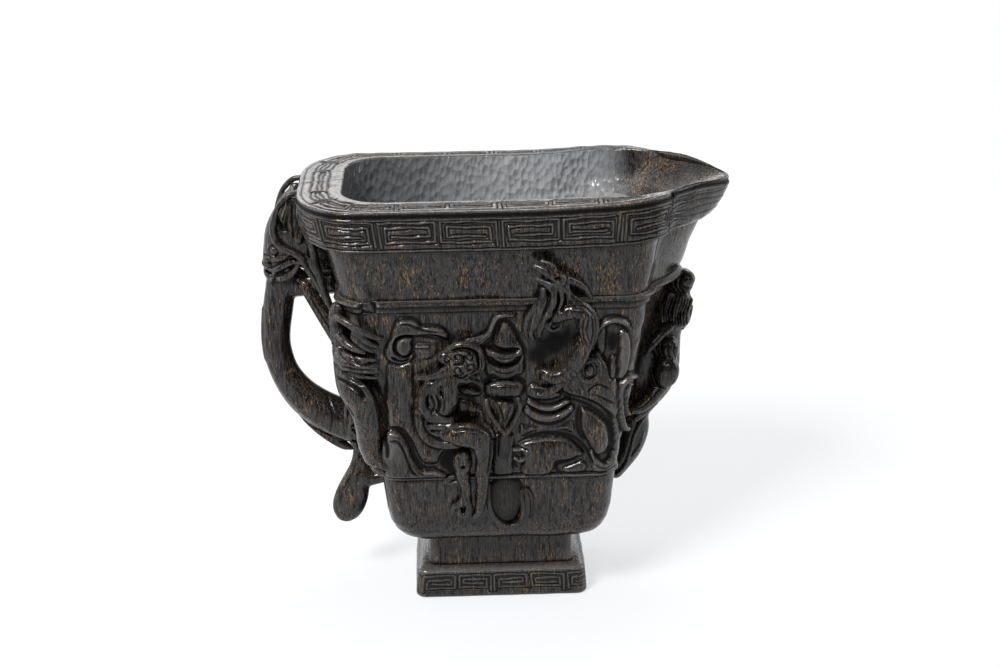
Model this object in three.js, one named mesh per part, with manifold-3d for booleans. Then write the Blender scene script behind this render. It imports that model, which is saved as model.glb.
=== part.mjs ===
// A footed horn libation cup in the archaistic style: a tapering rounded-rectangular cup with a pouring lip,
// a looped handle that grows from a beast's mouth, and horned dragons climbing over a carved mask. The real
// cup is carved from one horn, so each solid here is one form of the carving and meets its neighbour at the
// carver's own border between them. Millimetres, +Z up, origin at the centre of the foot's underside, +X
// towards the pouring lip, -Y the near long side.
import * as THREE from "three";
import { mergeVertices } from "three/addons/utils/BufferGeometryUtils.js";
import Module from "manifold-3d";

const wasm = await Module();
wasm.setup();

const CLEARANCE = 0.3; // between a raised form and the wall or form that it lies on
const WALL = 4; // thickness of the cup's wall
const WALL_UNDER_RIM = 6.5; // the wall thickens under the rim band, except at the lip

// Height of each form, and of the borders between them, from the table up.
const PLINTH_HEIGHT = 9.5;
const FOOT_NECK_HEIGHT = 11;
const BOWL_HEIGHT = 22.5;
const RELIEF_HEIGHT = 54.5;
const WAIST_HEIGHT = 3.8;
const NECK_HEIGHT = 15.2;
const BAND_HEIGHT = 12;
const PLINTH_TOP = PLINTH_HEIGHT;
const NECK_TOP = PLINTH_TOP + FOOT_NECK_HEIGHT;
const BOWL_TOP = NECK_TOP + BOWL_HEIGHT;
const RELIEF_TOP = BOWL_TOP + RELIEF_HEIGHT;
const WAIST_TOP = RELIEF_TOP + WAIST_HEIGHT;
const BAND_BOTTOM = WAIST_TOP + NECK_HEIGHT;
const RIM_TOP = BAND_BOTTOM + BAND_HEIGHT;
const FLOOR_THICKNESS = 8.5;
const FLOOR_ROUND = 2.8; // rounding of the cavity's corner with its floor

// Foot.
const FOOT_LENGTH = 52.6;
const FOOT_DEPTH = 33.6;
const FOOT_CORNER = 3;
const FOOT_BEVEL = 0.8;
const FOOT_NECK_INSET = 3.8;
const FOOT_NECK_TAPER = 0.4;

// Wall outline at each border: reach to the handle end, reach to the lip end, half the depth, corner radius
// (or the two half axes of an oval corner at the handle end and at the lip end), and how far the pouring lip
// swells out of the lip end.
const wallLevel = ({ corner, ...rest }) => ({ endX: corner, endY: corner, lipX: corner, lipY: corner, lip: 0,
  ...rest });
const UNDERSIDE = wallLevel({ z: NECK_TOP, left: 26, right: 25.6, half: 16.6, corner: 6.6 });
const BOWL_TURN = wallLevel({ z: NECK_TOP + 1.9, left: 30.9, right: 30.1, half: 19.8, corner: 7.8 });
const BOWL_BELLY = wallLevel({ z: NECK_TOP + 6.5, left: 33.6, right: 32.6, half: 22.1, corner: 8 });
const BOWL_EDGE = wallLevel({ z: BOWL_TOP, left: 35.5, right: 34.5, half: 24, corner: 8 });
const RELIEF_MIDDLE = wallLevel({ z: (BOWL_TOP + RELIEF_TOP) / 2, left: 40.5, right: 39, half: 26, corner: 8,
  lip: 1 });
const RELIEF_EDGE = wallLevel({ z: RELIEF_TOP, left: 45.1, right: 43, half: 27.6, corner: 8, lip: 9 });
const NECK_FOOT = wallLevel({ z: WAIST_TOP, left: 45.7, right: 43.1, half: 28, corner: 8.5, lip: 11.5 });
const NECK_MIDDLE = wallLevel({
  z: (WAIST_TOP + BAND_BOTTOM) / 2, left: 48, right: 44.3, half: 29.3, endX: 10.5, endY: 12.5, lipX: 12,
    lipY: 9.5, lip: 13,
});
const NECK_EDGE = wallLevel({
  z: BAND_BOTTOM, left: 51, right: 46, half: 31, endX: 14, endY: 18, lipX: 16, lipY: 11, lip: 14.5,
});
const BAND_FOOT = wallLevel({
  z: BAND_BOTTOM, left: 55.4, right: 47.9, half: 32.4, endX: 16.5, endY: 21.5, lipX: 18.5, lipY: 11,
    lip: 14.8,
});
const BAND_EDGE = wallLevel({
  z: RIM_TOP - 1.9, left: 58.2, right: 49.4, half: 33.4, endX: 18, endY: 24, lipX: 20, lipY: 11.5, lip: 19.4,
});
const RIM_EDGE = wallLevel({
  z: RIM_TOP - 0.2, left: 57.3, right: 48.8, half: 32.6, endX: 17.2, endY: 23.2, lipX: 19.2, lipY: 11,
    lip: 19.4,
});
const WAIST_PROUD = 1.5;
const LIP_WIDTH = 0.66; // half the width of the lip's root, as a share of the wall's half depth
const LIP_BLUNT = 0.4; // roundness of the lip's tip
const RIM_CLIMB = 1.5; // how far the rim climbs towards the lip
const RIM_CLIMB_FROM = 5;
const RIM_CLIMB_TO = 50;
const TOP_SLOPE = 0.7; // how much higher the mouth's edge is than the rim's outer edge

// Mouth of the cavity.
const RIM_WIDTH = 7.9;
const RIM_WIDTH_HANDLE_END = 12.7;
const LIP_EDGE = 1.4; // thickness of the pouring lip's edge
const CHANNEL_DEPTH = 4; // below the rim, where the pouring channel is steepest
const CHANNEL_SHARE = 0.3; // how far the cavity follows the lip's swelling below the rim band

// Points on each stretch of half an outline.
const END_STEPS = 3;
const CORNER_STEPS = 5;
const SIDE_STEPS = 5;
const LIP_STEPS = 8;

const HORN = new THREE.MeshStandardMaterial({ color: 0x2a211c, roughness: 0.42, metalness: 0 });

// Outline of the cup at one level

function ease(value, low, high) {
  const share = THREE.MathUtils.clamp((value - low) / (high - low), 0, 1);
  return share * share * (3 - 2 * share);
}

// Grows an outline outwards, or shrinks it when the distance is negative.
function grown(level, distance) {
  const bigger = { ...level };
  for (const key of ["left", "right", "half"]) bigger[key] += distance;
  for (const key of ["endX", "endY", "lipX", "lipY"]) bigger[key] = Math.max(level[key] + distance, 1.5);
  return bigger;
}

function mixLevels(a, b, share) {
  const mixed = {};
  for (const key of Object.keys(a)) mixed[key] = a[key] + (b[key] - a[key]) * share;
  return mixed;
}

// The near half of the outline, from the middle of the handle end to the lip's tip, seen from above. Where it
// is the cavity's mouth, it runs out to the lip in one sweep instead of turning its own corner first.
function halfOutline({ left, right, half, endX, endY, lipX, lipY, lip }, sweeping = 0) {
  const points = [];
  const flat = half - endY;
  const lipFlat = half - lipY;
  const root = Math.min(half * LIP_WIDTH, lipFlat - 1);
  const start = right - lipX;
  const swept = (x, y, bend) => {
    const sweptX = start + (right + lip - start) * Math.sin(bend) ** 1.4;
    const sweptY = -half * Math.cos(bend) ** 1.2;
    points.push([THREE.MathUtils.lerp(x, sweptX, sweeping), THREE.MathUtils.lerp(y, sweptY, sweeping)]);
  };
  for (let i = 0; i < END_STEPS; i++) points.push([-left, (-flat * i) / END_STEPS]);
  for (let i = 0; i < CORNER_STEPS; i++) {
    const turn = (Math.PI / 2) * (i / CORNER_STEPS);
    points.push([-left + endX - endX * Math.cos(turn), -flat - endY * Math.sin(turn)]);
  }
  for (let i = 0; i < SIDE_STEPS; i++) {
    points.push([-left + endX + (start + left - endX) * (i / SIDE_STEPS), -half]);
  }
  for (let i = 0; i < CORNER_STEPS; i++) {
    const turn = (Math.PI / 2) * (i / CORNER_STEPS);
    swept(start + lipX * Math.sin(turn), -lipFlat - lipY * Math.cos(turn), turn / 2);
  }
  for (let i = 0; i <= LIP_STEPS; i++) {
    const side = lipFlat * (1 - i / LIP_STEPS);
    const wedge = 1 - (Math.hypot(side / root, LIP_BLUNT) - LIP_BLUNT) / (Math.hypot(1,
      LIP_BLUNT) - LIP_BLUNT);
    const bulge = (wedge + Math.hypot(wedge, 0.126)) / 2;
    swept(right + lip * bulge, -side, (Math.PI / 4) * (1 + i / LIP_STEPS));
  }
  points[points.length - 1][1] = 0;
  return points;
}

// The whole outline as 3-D points, counter-clockwise from above.
function ring(level, sweeping = 0, height = () => level.z) {
  const near = halfOutline(level, sweeping);
  const far = near.slice(1, -1).map(([x, y]) => [x, -y]).reverse();
  return [...near, ...far].map(([x, y]) => new THREE.Vector3(x, y, height(x)));
}

// The rim is not level: it climbs towards the lip.
const rimRing = (level, sweeping, raised) => ring(
  level, sweeping, (x) => level.z + raised + RIM_CLIMB * ease(x, RIM_CLIMB_FROM, RIM_CLIMB_TO),
);

// Skins a stack of rings with equal numbers of points. A looped stack closes on itself; any other gets end
// caps.
function loft(rings, looped = false) {
  const count = rings[0].length;
  const positions = rings.flat().flatMap((p) => [p.x, p.y, p.z]);
  const index = [];
  const rows = looped ? rings.length : rings.length - 1;
  for (let row = 0; row < rows; row++) {
    const above = (row + 1) % rings.length;
    for (let i = 0; i < count; i++) {
      const next = (i + 1) % count;
      const [a, b, c, d] = [row * count + i, row * count + next, above * count + next, above * count + i];
      index.push(a, b, c, a, c, d);
    }
  }
  if (!looped) {
    for (const [row, flipped] of [[0, true], [rings.length - 1, false]]) {
      const centre = new THREE.Vector3();
      for (const p of rings[row]) centre.addScaledVector(p, 1 / count);
      const hub = positions.length / 3;
      positions.push(centre.x, centre.y, centre.z);
      for (let i = 0; i < count; i++) {
        const [a, b] = [row * count + i, row * count + ((i + 1) % count)];
        index.push(...(flipped ? [hub, b, a] : [hub, a, b]));
      }
    }
  }
  const geometry = new THREE.BufferGeometry();
  geometry.setAttribute("position", new THREE.Float32BufferAttribute(positions, 3));
  geometry.setIndex(index);
  return geometry;
}

// Solids and their joins and cuts

function solid(geometry) {
  const bare = new THREE.BufferGeometry();
  bare.setAttribute("position", geometry.getAttribute("position"));
  bare.setIndex(geometry.getIndex());
  const merged = mergeVertices(bare, 1e-4);
  const vertProperties = merged.attributes.position.array;
  return new wasm.Manifold(new wasm.Mesh({ numProp: 3, vertProperties,
    triVerts: new Uint32Array(merged.index.array) }));
}

function geometryOf(manifold) {
  const { numProp, numVert, vertProperties, triVerts } = manifold.getMesh();
  const positions = new Float32Array(numVert * 3);
  for (let i = 0; i < numVert; i++) positions.set(vertProperties.subarray(i * numProp, i * numProp + 3),
    i * 3);
  const geometry = new THREE.BufferGeometry();
  geometry.setAttribute("position", new THREE.BufferAttribute(positions, 3));
  geometry.setIndex(new THREE.BufferAttribute(triVerts, 1));
  return geometry;
}

const joined = (solids) => solids.reduce((all, one) => all.add(one));

// The largest body left after a cut, without the crumbs that the cut leaves beside it.
const mainBody = (cut) => cut.decompose().reduce((best, one) => (one.volume() > best.volume() ? one : best));

const cup = new THREE.Group();

function addMesh(name, geometry) {
  geometry.computeVertexNormals();
  const mesh = new THREE.Mesh(geometry, HORN.clone());
  mesh.name = name;
  cup.add(mesh);
}

// The same form on the cup's far side, its faces turned back outwards.
function addFarMesh(name, geometry) {
  const far = geometry.clone().scale(1, -1, 1);
  far.index.array.reverse();
  addMesh(name, far);
}

// Foot: a moulded plinth under a plainer neck

function footLevel(z, inset) {
  const reach = FOOT_LENGTH / 2 - inset;
  return wallLevel({ z, left: reach, right: reach, half: FOOT_DEPTH / 2 - inset, corner: FOOT_CORNER });
}

addMesh("foot_plinth", loft([
  ring(footLevel(0, FOOT_BEVEL)),
  ring(footLevel(FOOT_BEVEL, 0)),
  ring(footLevel(PLINTH_TOP - FOOT_BEVEL, FOOT_BEVEL / 2)),
  ring(footLevel(PLINTH_TOP, FOOT_BEVEL * 2)),
]));

addMesh("foot_neck", loft([
  ring(footLevel(PLINTH_TOP, FOOT_NECK_INSET)),
  ring(footLevel(NECK_TOP, FOOT_NECK_INSET + FOOT_NECK_TAPER)),
]));

// Cup walls, one solid for each zone of the carving

const inner = (level) => ring(grown({ ...level, lip: level.lip * CHANNEL_SHARE }, -WALL));
const innerNeck = (level, share) => {
  const extra = (WALL_UNDER_RIM - WALL) * share;
  const thinned = grown({ ...level, lip: level.lip * (CHANNEL_SHARE + 0.15 * share) }, -WALL);
  return ring({ ...thinned, left: thinned.left - extra, half: thinned.half - extra });
};

const bowlOutside = solid(loft([ring(UNDERSIDE), ring(BOWL_TURN), ring(BOWL_BELLY), ring(BOWL_EDGE)]));
const floorLevel = { ...BOWL_BELLY, z: NECK_TOP + FLOOR_THICKNESS };
const bowlInside = solid(loft([
  ring(grown(floorLevel, -WALL - FLOOR_ROUND)),
  ring(grown({ ...floorLevel, z: floorLevel.z + FLOOR_ROUND }, -WALL)),
  inner(BOWL_EDGE),
  inner({ ...BOWL_EDGE, z: BOWL_TOP + 1 }),
]));
addMesh("lower_bowl", geometryOf(bowlOutside.subtract(bowlInside)));

const WAIST_FOOT = grown(RELIEF_EDGE, WAIST_PROUD * 0.7);
const WAIST_HEAD = grown(mixLevels(RELIEF_EDGE, NECK_FOOT, 0.8), WAIST_PROUD);
addMesh("waist_ridge", loft([
  ring(WAIST_FOOT), ring(WAIST_HEAD), ring(NECK_FOOT), inner(NECK_FOOT), inner(RELIEF_EDGE),
], true));

addMesh("neck_wall", loft([
  ring(NECK_FOOT), ring(NECK_MIDDLE), ring(NECK_EDGE), innerNeck(NECK_EDGE, 1), innerNeck(NECK_MIDDLE, 0.5),
    inner(NECK_FOOT),
], true));

// The rim's flat top is wide on three sides and thins to the pouring lip's edge, where the channel starts.
const MOUTH = {
  ...RIM_EDGE,
  left: RIM_EDGE.left - RIM_WIDTH_HANDLE_END,
  half: RIM_EDGE.half - RIM_WIDTH,
  endX: 12,
  endY: 13,
  lipX: 14,
  lipY: 8,
  lip: RIM_EDGE.lip - LIP_EDGE,
};
const CHANNEL = { ...mixLevels(MOUTH, grown(NECK_EDGE, -WALL), 0.4), z: RIM_TOP - CHANNEL_DEPTH,
  lip: MOUTH.lip * 0.62 };
addMesh("rim_band", loft([
  ring(BAND_FOOT), rimRing(BAND_EDGE, 0, 0), rimRing(RIM_EDGE, 0, 0), rimRing(MOUTH, 1, TOP_SLOPE),
    rimRing(CHANNEL, 0.7, 0),
  innerNeck(NECK_EDGE, 1),
], true));

// Places on the wall

const LEVELS = [UNDERSIDE, BOWL_TURN, BOWL_BELLY, BOWL_EDGE, RELIEF_MIDDLE, RELIEF_EDGE, NECK_FOOT,
  NECK_MIDDLE, NECK_EDGE];
const WALL_CORNER = 8;

// The carvings below are drawn on a cup with borders at these heights, and stretch with the cup's own
// borders.
const DRAWN_BORDERS = [0, 9.5, 20.5, 43, 97.5, 101.3, 116.5, 128.5];
const BORDERS = [0, PLINTH_TOP, NECK_TOP, BOWL_TOP, RELIEF_TOP, WAIST_TOP, BAND_BOTTOM, RIM_TOP];

function heightOf(drawn) {
  const above = DRAWN_BORDERS.findIndex((border) => border >= drawn);
  const at = above < 0 ? DRAWN_BORDERS.length - 1 : Math.max(above, 1);
  const share = (drawn - DRAWN_BORDERS[at - 1]) / (DRAWN_BORDERS[at] - DRAWN_BORDERS[at - 1]);
  return THREE.MathUtils.lerp(BORDERS[at - 1], BORDERS[at], share);
}

function levelAt(z) {
  const found = LEVELS.findIndex((level) => level.z >= z);
  const above = found < 0 ? LEVELS.length - 1 : Math.max(1, found);
  const [a, b] = [LEVELS[above - 1], LEVELS[above]];
  return mixLevels(a, b, THREE.MathUtils.clamp((z - a.z) / (b.z - a.z), 0, 1));
}

// The wall's point and outward direction at a distance round it from the middle of the near side, at a drawn
// height.
function onWall(around, drawn, lift) {
  const z = heightOf(drawn);
  const { left, right, half } = levelAt(z);
  const way = Math.sign(around) || 1;
  const straight = (around < 0 ? left : right) - WALL_CORNER;
  const past = Math.max(Math.abs(around) - straight, 0);
  const turn = Math.min(past / WALL_CORNER, Math.PI / 2);
  const beyond = past - turn * WALL_CORNER;
  const out = new THREE.Vector3(way * Math.sin(turn), -Math.cos(turn), 0);
  const x = way * (Math.min(Math.abs(around), straight) + WALL_CORNER * Math.sin(turn));
  const place = new THREE.Vector3(x, -(half - WALL_CORNER) - WALL_CORNER * Math.cos(turn) + beyond, z);
  return { place: place.addScaledVector(out, lift), out };
}

// A point clear of an end wall: its distance from the wall's end, its drawn height, and its place across the
// cup.
function offEnd(end, away, drawn, y) {
  const z = heightOf(drawn);
  const { left, right } = levelAt(z);
  const x = end === "handle" ? -left - away : right + away;
  return { place: new THREE.Vector3(x, y, z), out: new THREE.Vector3(0, -1, 0) };
}

const spotOf = (end, [a, drawn, b]) => (end ? offEnd(end, a, drawn, b) : onWall(a, drawn, b));

// Rounded limbs and heads of the carved animals

// A tapering limb through stations of [around, height, lift, radius] on the wall, or of [distance from the
// end wall, height, y, radius] at the cup's handle end or lip end.
function limb(stations, { end = "", grow = 0, steps = 2, sides = 8, flat = 1 } = {}) {
  const spots = stations.map((station) => spotOf(end, station));
  const curve = new THREE.CatmullRomCurve3(spots.map((spot) => spot.place));
  const spans = (stations.length - 1) * steps;
  const rings = [];
  for (let i = 0; i <= spans; i++) {
    const share = i / spans;
    const at = share * (stations.length - 1);
    const low = Math.min(Math.floor(at), stations.length - 2);
    const radius = THREE.MathUtils.lerp(stations[low][3], stations[low + 1][3], at - low) + grow;
    const out = spots[low].out.clone().lerp(spots[low + 1].out, at - low).normalize();
    const along = curve.getTangent(share);
    const side = new THREE.Vector3().crossVectors(out, along).normalize();
    const up = new THREE.Vector3().crossVectors(along, side).normalize();
    const centre = curve.getPoint(share);
    rings.push(Array.from({ length: sides }, (_, k) => {
      const angle = (2 * Math.PI * k) / sides;
      return centre.clone()
        .addScaledVector(side, radius * Math.cos(angle))
        .addScaledVector(up, radius * flat * Math.sin(angle));
    }));
  }
  const blunt = (row, away) => {
    const centre = new THREE.Vector3();
    for (const p of rings[row]) centre.addScaledVector(p, 1 / sides);
    const shift = curve.getTangent(row ? 1 : 0).multiplyScalar(away * rings[row][0].distanceTo(centre) * 0.5);
    return rings[row].map((p) => p.clone().lerp(centre, 0.45).add(shift));
  };
  return solid(loft([blunt(0, -1), ...rings, blunt(rings.length - 1, 1)]));
}

const limbs = (lines, options) => lines.map((line) => limb(line, options));

// An egg-shaped mass, turned by an angle in the wall's own plane: half sizes along, across and outwards.
function mass(spot, [along, across, outwards], degrees, { end = "", grow = 0 } = {}) {
  const { place, out } = spotOf(end, spot);
  const egg = new THREE.SphereGeometry(1, 10, 7);
  const level = new THREE.Vector3().crossVectors(new THREE.Vector3(0, 0, 1), out);
  const climb = new THREE.Vector3().crossVectors(level, out).multiplyScalar(-1);
  const turn = THREE.MathUtils.degToRad(degrees);
  const forward = level.clone().multiplyScalar(Math.cos(turn)).addScaledVector(climb, Math.sin(turn));
  const sideways = new THREE.Vector3().crossVectors(out, forward);
  const frame = new THREE.Matrix4().makeBasis(
    forward.multiplyScalar(along + grow), sideways.multiplyScalar(across + grow),
      out.clone().multiplyScalar(outwards + grow),
  );
  egg.applyMatrix4(frame).translate(place.x, place.y, place.z);
  return solid(egg);
}

// A flat-topped form in low relief, its edge sloping down to the wall: how far it rises, and its outline on
// the wall.
const PLAQUE_ROOT = 1.5;
const PLAQUE_SLOPE = 0.7;
function plaque(rise, outline, grow = 0, root = PLAQUE_ROOT) {
  const shape = new THREE.Shape(outline.map(([around, z]) => new THREE.Vector2(around, z)));
  const slab = new THREE.ExtrudeGeometry(shape, {
    depth: root + rise + grow - PLAQUE_SLOPE,
    bevelThickness: PLAQUE_SLOPE,
    bevelSize: PLAQUE_SLOPE,
    bevelOffset: grow - PLAQUE_SLOPE,
    bevelSegments: 1,
  });
  const place = slab.getAttribute("position");
  for (let i = 0; i < place.count; i++) {
    const spot = onWall(place.getX(i), place.getY(i), place.getZ(i) - root).place;
    place.setXYZ(i, spot.x, spot.y, spot.z);
  }
  slab.setIndex(Array.from({ length: place.count }, (_, i) => i));
  return solid(slab);
}

function mirrored(form) {
  const far = geometryOf(form).scale(1, -1, 1);
  far.index.array.reverse();
  return solid(far);
}

// Mask, scrolls and tails in low relief, which stay one with the wall
const PLAQUES = [
  [0.9, [[-33, 62], [-33, 80.5], [-26, 80.5], [-25.6, 63], [-21.6, 57], [-17, 54], [-19, 51], [-23.4, 52],
    [-27, 59]]],
  [1.8, [[-34, 59], [-30, 58.6], [-27.4, 55], [-25, 49.4], [-20, 46.2], [-17, 45], [-26, 44.6], [-34, 44.6]]],
  [1.8, [[-16, 90.4], [-22.8, 93.2], [-26.5, 95.2], [-29.6, 94.6], [-32.4, 86.4], [-31, 83.2], [-27.5, 83],
    [-25.3, 87], [-20, 89.6]]],
  [2.0, [[18, 72.8], [23, 71], [29, 68.2], [32.6, 65], [33.8, 70], [33, 76], [29, 82.6], [23.6, 82.6],
    [18.4, 78]]],
  [1.9, [[23.9, 65.6], [28.6, 62.8], [31, 58], [30.6, 52.8], [28, 51.8], [24.2, 58.6]]],
  [1.9, [[5.6, 54.8], [14, 56.8], [22, 53.4], [23, 51.2], [16, 49.2], [14, 45.6], [7, 45.4]]],
  [1.4, [[7.8, 72.6], [12, 73.4], [17, 71.4], [14, 69.8], [8.2, 70.6]]],
  [1.8, [[8, 68], [14, 66.8], [19.8, 69], [19.6, 66.4], [13.6, 62.8], [8.2, 64.8]]],
  [1.2, [[-12.6, 69.8], [-7, 69], [-6, 65], [-12.4, 65.2]]],
  [1.2, [[27.2, 46], [33.4, 45.6], [34.4, 54], [33.4, 61], [32.6, 52], [30.4, 47.4]]],
];
const CURLED_HORN = [[27.6, 85, 0.5, 1.3], [28, 91, 0.6, 1.5], [31, 93.6, 0.6, 1.5], [35, 92.8, 0.6, 1.5],
  [37, 88, 0.5, 1.4], [36.4, 79, 0.4, 1.2]];
const CORNER_LOOP = [[39.6, 75, 0.9, 1.2], [36, 74.8, 0.9, 1.2], [34.4, 70, 0.9, 1.2],
  [34.9, 63.6, 0.9, 1.2], [37.7, 57.6, 0.9, 1.2], [44, 55.6, 0.6, 1]];
const HOLLOWS = [
  [[7.8, 83.8], [9.6, 88.8], [12, 90.8], [19.4, 90.8], [20.2, 87.6], [14.4, 82.2], [10.6, 81.8]],
  [[-18.4, 48.8], [-17.6, 52], [-15.6, 53.8], [-13.8, 52], [-13.8, 45], [-16.8, 47]],
];
const HOLLOW_DEPTH = 1.4;
const HOLLOW_REACH = 4; // how far the cut for a hollow stands out of the wall, past every plaque

function lowRelief(grow = 0) {
  const forms = PLAQUES.map(([rise, outline]) => plaque(rise, outline, grow));
  return joined([...forms, limb(CURLED_HORN, { grow, sides: 6 }), limb(CORNER_LOOP, { grow, sides: 6 })]);
}

const hollows = () => joined(HOLLOWS.map((outline) => plaque(HOLLOW_REACH, outline, 0, HOLLOW_DEPTH)));

const plainWall = solid(loft([
  ring(BOWL_EDGE), ring(RELIEF_MIDDLE), ring(RELIEF_EDGE), inner(RELIEF_EDGE), inner(RELIEF_MIDDLE),
    inner(BOWL_EDGE),
], true));
const nearRelief = lowRelief();
const nearHollows = hollows();
addMesh("relief_wall", geometryOf(mainBody(
  joined([plainWall, nearRelief, mirrored(nearRelief)]).subtract(nearHollows).subtract(mirrored(nearHollows)),
)));

// Everything that a raised form keeps clear of: the walls and their relief, grown by the clearance.
const wallsGrown = solid(loft([
  ...LEVELS.slice(0, 6).map((level) => ring(grown(level, CLEARANCE))),
  ring({ ...grown(WAIST_FOOT, CLEARANCE), z: RELIEF_TOP - CLEARANCE }),
  ring(grown(WAIST_HEAD, CLEARANCE)),
  ring(grown({ ...NECK_FOOT, z: WAIST_TOP + CLEARANCE }, CLEARANCE)),
  ring(grown(NECK_MIDDLE, CLEARANCE)),
  ring(grown({ ...NECK_EDGE, z: BAND_BOTTOM - CLEARANCE * 1.5 }, CLEARANCE)),
  ring(grown({ ...BAND_FOOT, z: BAND_BOTTOM - CLEARANCE }, CLEARANCE)),
  ring(grown(BAND_EDGE, CLEARANCE)),
  ring(grown({ ...RIM_EDGE, z: RIM_TOP + TOP_SLOPE + CLEARANCE }, CLEARANCE)),
]));
const keepClear = wallsGrown.add(lowRelief(CLEARANCE));

// Dragon climbing the near corner at the handle end
function cornerDragon(grow = 0) {
  const body = { grow, sides: 8 };
  const fine = { grow, sides: 6, steps: 1 };
  return joined([
    ...limbs([
      [[-46, 100, 2, 2.6], [-47.4, 95, 2.2, 3], [-48, 86, 2.4, 3.3], [-45.2, 77.2, 2.8, 3.8],
        [-41.6, 73.6, 3, 4], [-38, 67, 2.7, 3.3],
        [-37.8, 58, 2.5, 2.8], [-37, 49.8, 2.2, 2.6]],
      [[-50, 86, 1.6, 2.6], [-51, 78, 1.6, 2.8], [-47.5, 68, 1.8, 2.8], [-44.6, 58, 1.4, 2.2],
        [-44, 50, 1, 1.8]],
    ], body),
    mass([-43.4, 97.4, 3], [4.4, 3.4, 3], -20, body),
    mass([-40.2, 72.6, 4.4], [3.8, 4.2, 2.2], 30, body),
    ...limbs([
      [[-42.8, 98.6, 3.4, 1.8], [-40.4, 101.4, 2.6, 1.4], [-38.2, 103.2, 1.8, 1], [-36, 101.8, 1.6, 0.9]],
      [[-45.4, 97.4, 3.4, 1.5], [-48.6, 103, 1.8, 0.7]],
      [[-43.4, 96.2, 3.2, 1.5], [-39.8, 95, 2.8, 1.3], [-35, 91.8, 1.2, 0.7]],
      [[-45.4, 94, 3, 1.5], [-40, 91.8, 3, 1.3], [-35, 89.6, 1.6, 0.8]],
      [[-43, 90, 3, 1.5], [-39, 87.6, 2.6, 1.3], [-36.4, 86.4, 1.6, 0.8]],
      [[-48.6, 87, 2.6, 2.4], [-44, 83, 3.2, 2.5], [-42, 81.6, 3.2, 2.4]],
      [[-43, 83.4, 3.4, 1.4], [-39.6, 84, 3, 1.2], [-36, 83.2, 1.8, 0.8]],
      [[-42.6, 81, 3.6, 1.5], [-38.6, 80.8, 3, 1.3], [-34.6, 80, 1.8, 0.8]],
      [[-37.6, 49.8, 2.6, 1.5], [-35.2, 49, 2.4, 1.2], [-33.2, 47.4, 1.4, 0.8]],
      [[-38.4, 48.4, 2.6, 1.6], [-37, 44.6, 1.6, 1]],
    ], fine),
  ]);
}

// Dragon in the middle of the near side, its body doubled back on itself
function middleDragon(grow = 0) {
  const body = { grow, sides: 8 };
  const fine = { grow, sides: 6, steps: 1 };
  return joined([
    mass([-10.4, 82.8, 3.2], [5.2, 5.8, 3.8], 10, body),
    mass([-11, 52, 2.8], [3.2, 4.6, 3], 0, body),
    ...limbs([
      [[-13.6, 80, 3.2, 1.9], [-15, 74, 3.9, 2], [-16, 68.6, 3.4, 1.9], [-18.6, 66.2, 2.8, 1.7]],
      [[-18.8, 75.4, 2.3, 1.9], [-20.6, 71, 2.5, 2.8], [-20, 66.4, 2.5, 2]],
      [[-24, 70, 1.4, 1.3], [-23.6, 64, 2.3, 1.7], [-20.4, 59, 2.6, 2.1], [-14.4, 57.6, 3, 2.3],
        [-10.4, 57.8, 3, 2.3]],
      [[-15.6, 60.6, 3.8, 2.6], [-8.6, 60.2, 5, 3.2], [-5, 58, 4.4, 3], [-5, 51.6, 3, 2.6],
        [-6, 44.4, 2.3, 2.1], [-6.4, 37, 1.7, 1.6],
        [-8, 31, 1, 1]],
      [[-4, 41, 0.8, 0.8], [-3.8, 34, 0.9, 0.9], [-0.6, 28.2, 0.9, 0.9], [4, 27.4, 0.9, 0.9],
        [6.2, 32, 0.8, 0.8], [6, 38.4, 0.7, 0.7]],
    ], body),
    ...limbs([
      [[-15.6, 86.2, 2.8, 1.1], [-11, 88.4, 3.4, 1.2], [-6.4, 88.6, 2.4, 1], [-3, 91, 1.2, 0.8]],
      [[-13.4, 81.8, 3.4, 1.8], [-18.4, 79.2, 3, 1.2], [-24.6, 77.5, 1.4, 0.6]],
      [[-13.8, 80, 3.4, 1.5], [-18.6, 76.2, 3, 1.2], [-23.4, 73.8, 1.6, 0.7]],
      [[-15.2, 64.4, 3.9, 1.4], [-21.4, 64.5, 3, 0.9]],
      [[-15, 62.2, 4, 1.4], [-21.2, 62, 3, 0.9]],
      [[-12, 48.4, 2.2, 2.3], [-11, 42.4, 2, 1.8], [-11.2, 37.4, 1.7, 1.5], [-14.4, 34.4, 1.3, 1]],
      [[-10.6, 38, 1.8, 1.4], [-10, 33.6, 1.7, 1.2], [-11.8, 31.8, 1.5, 0.9]],
    ], fine),
  ]);
}

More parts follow.
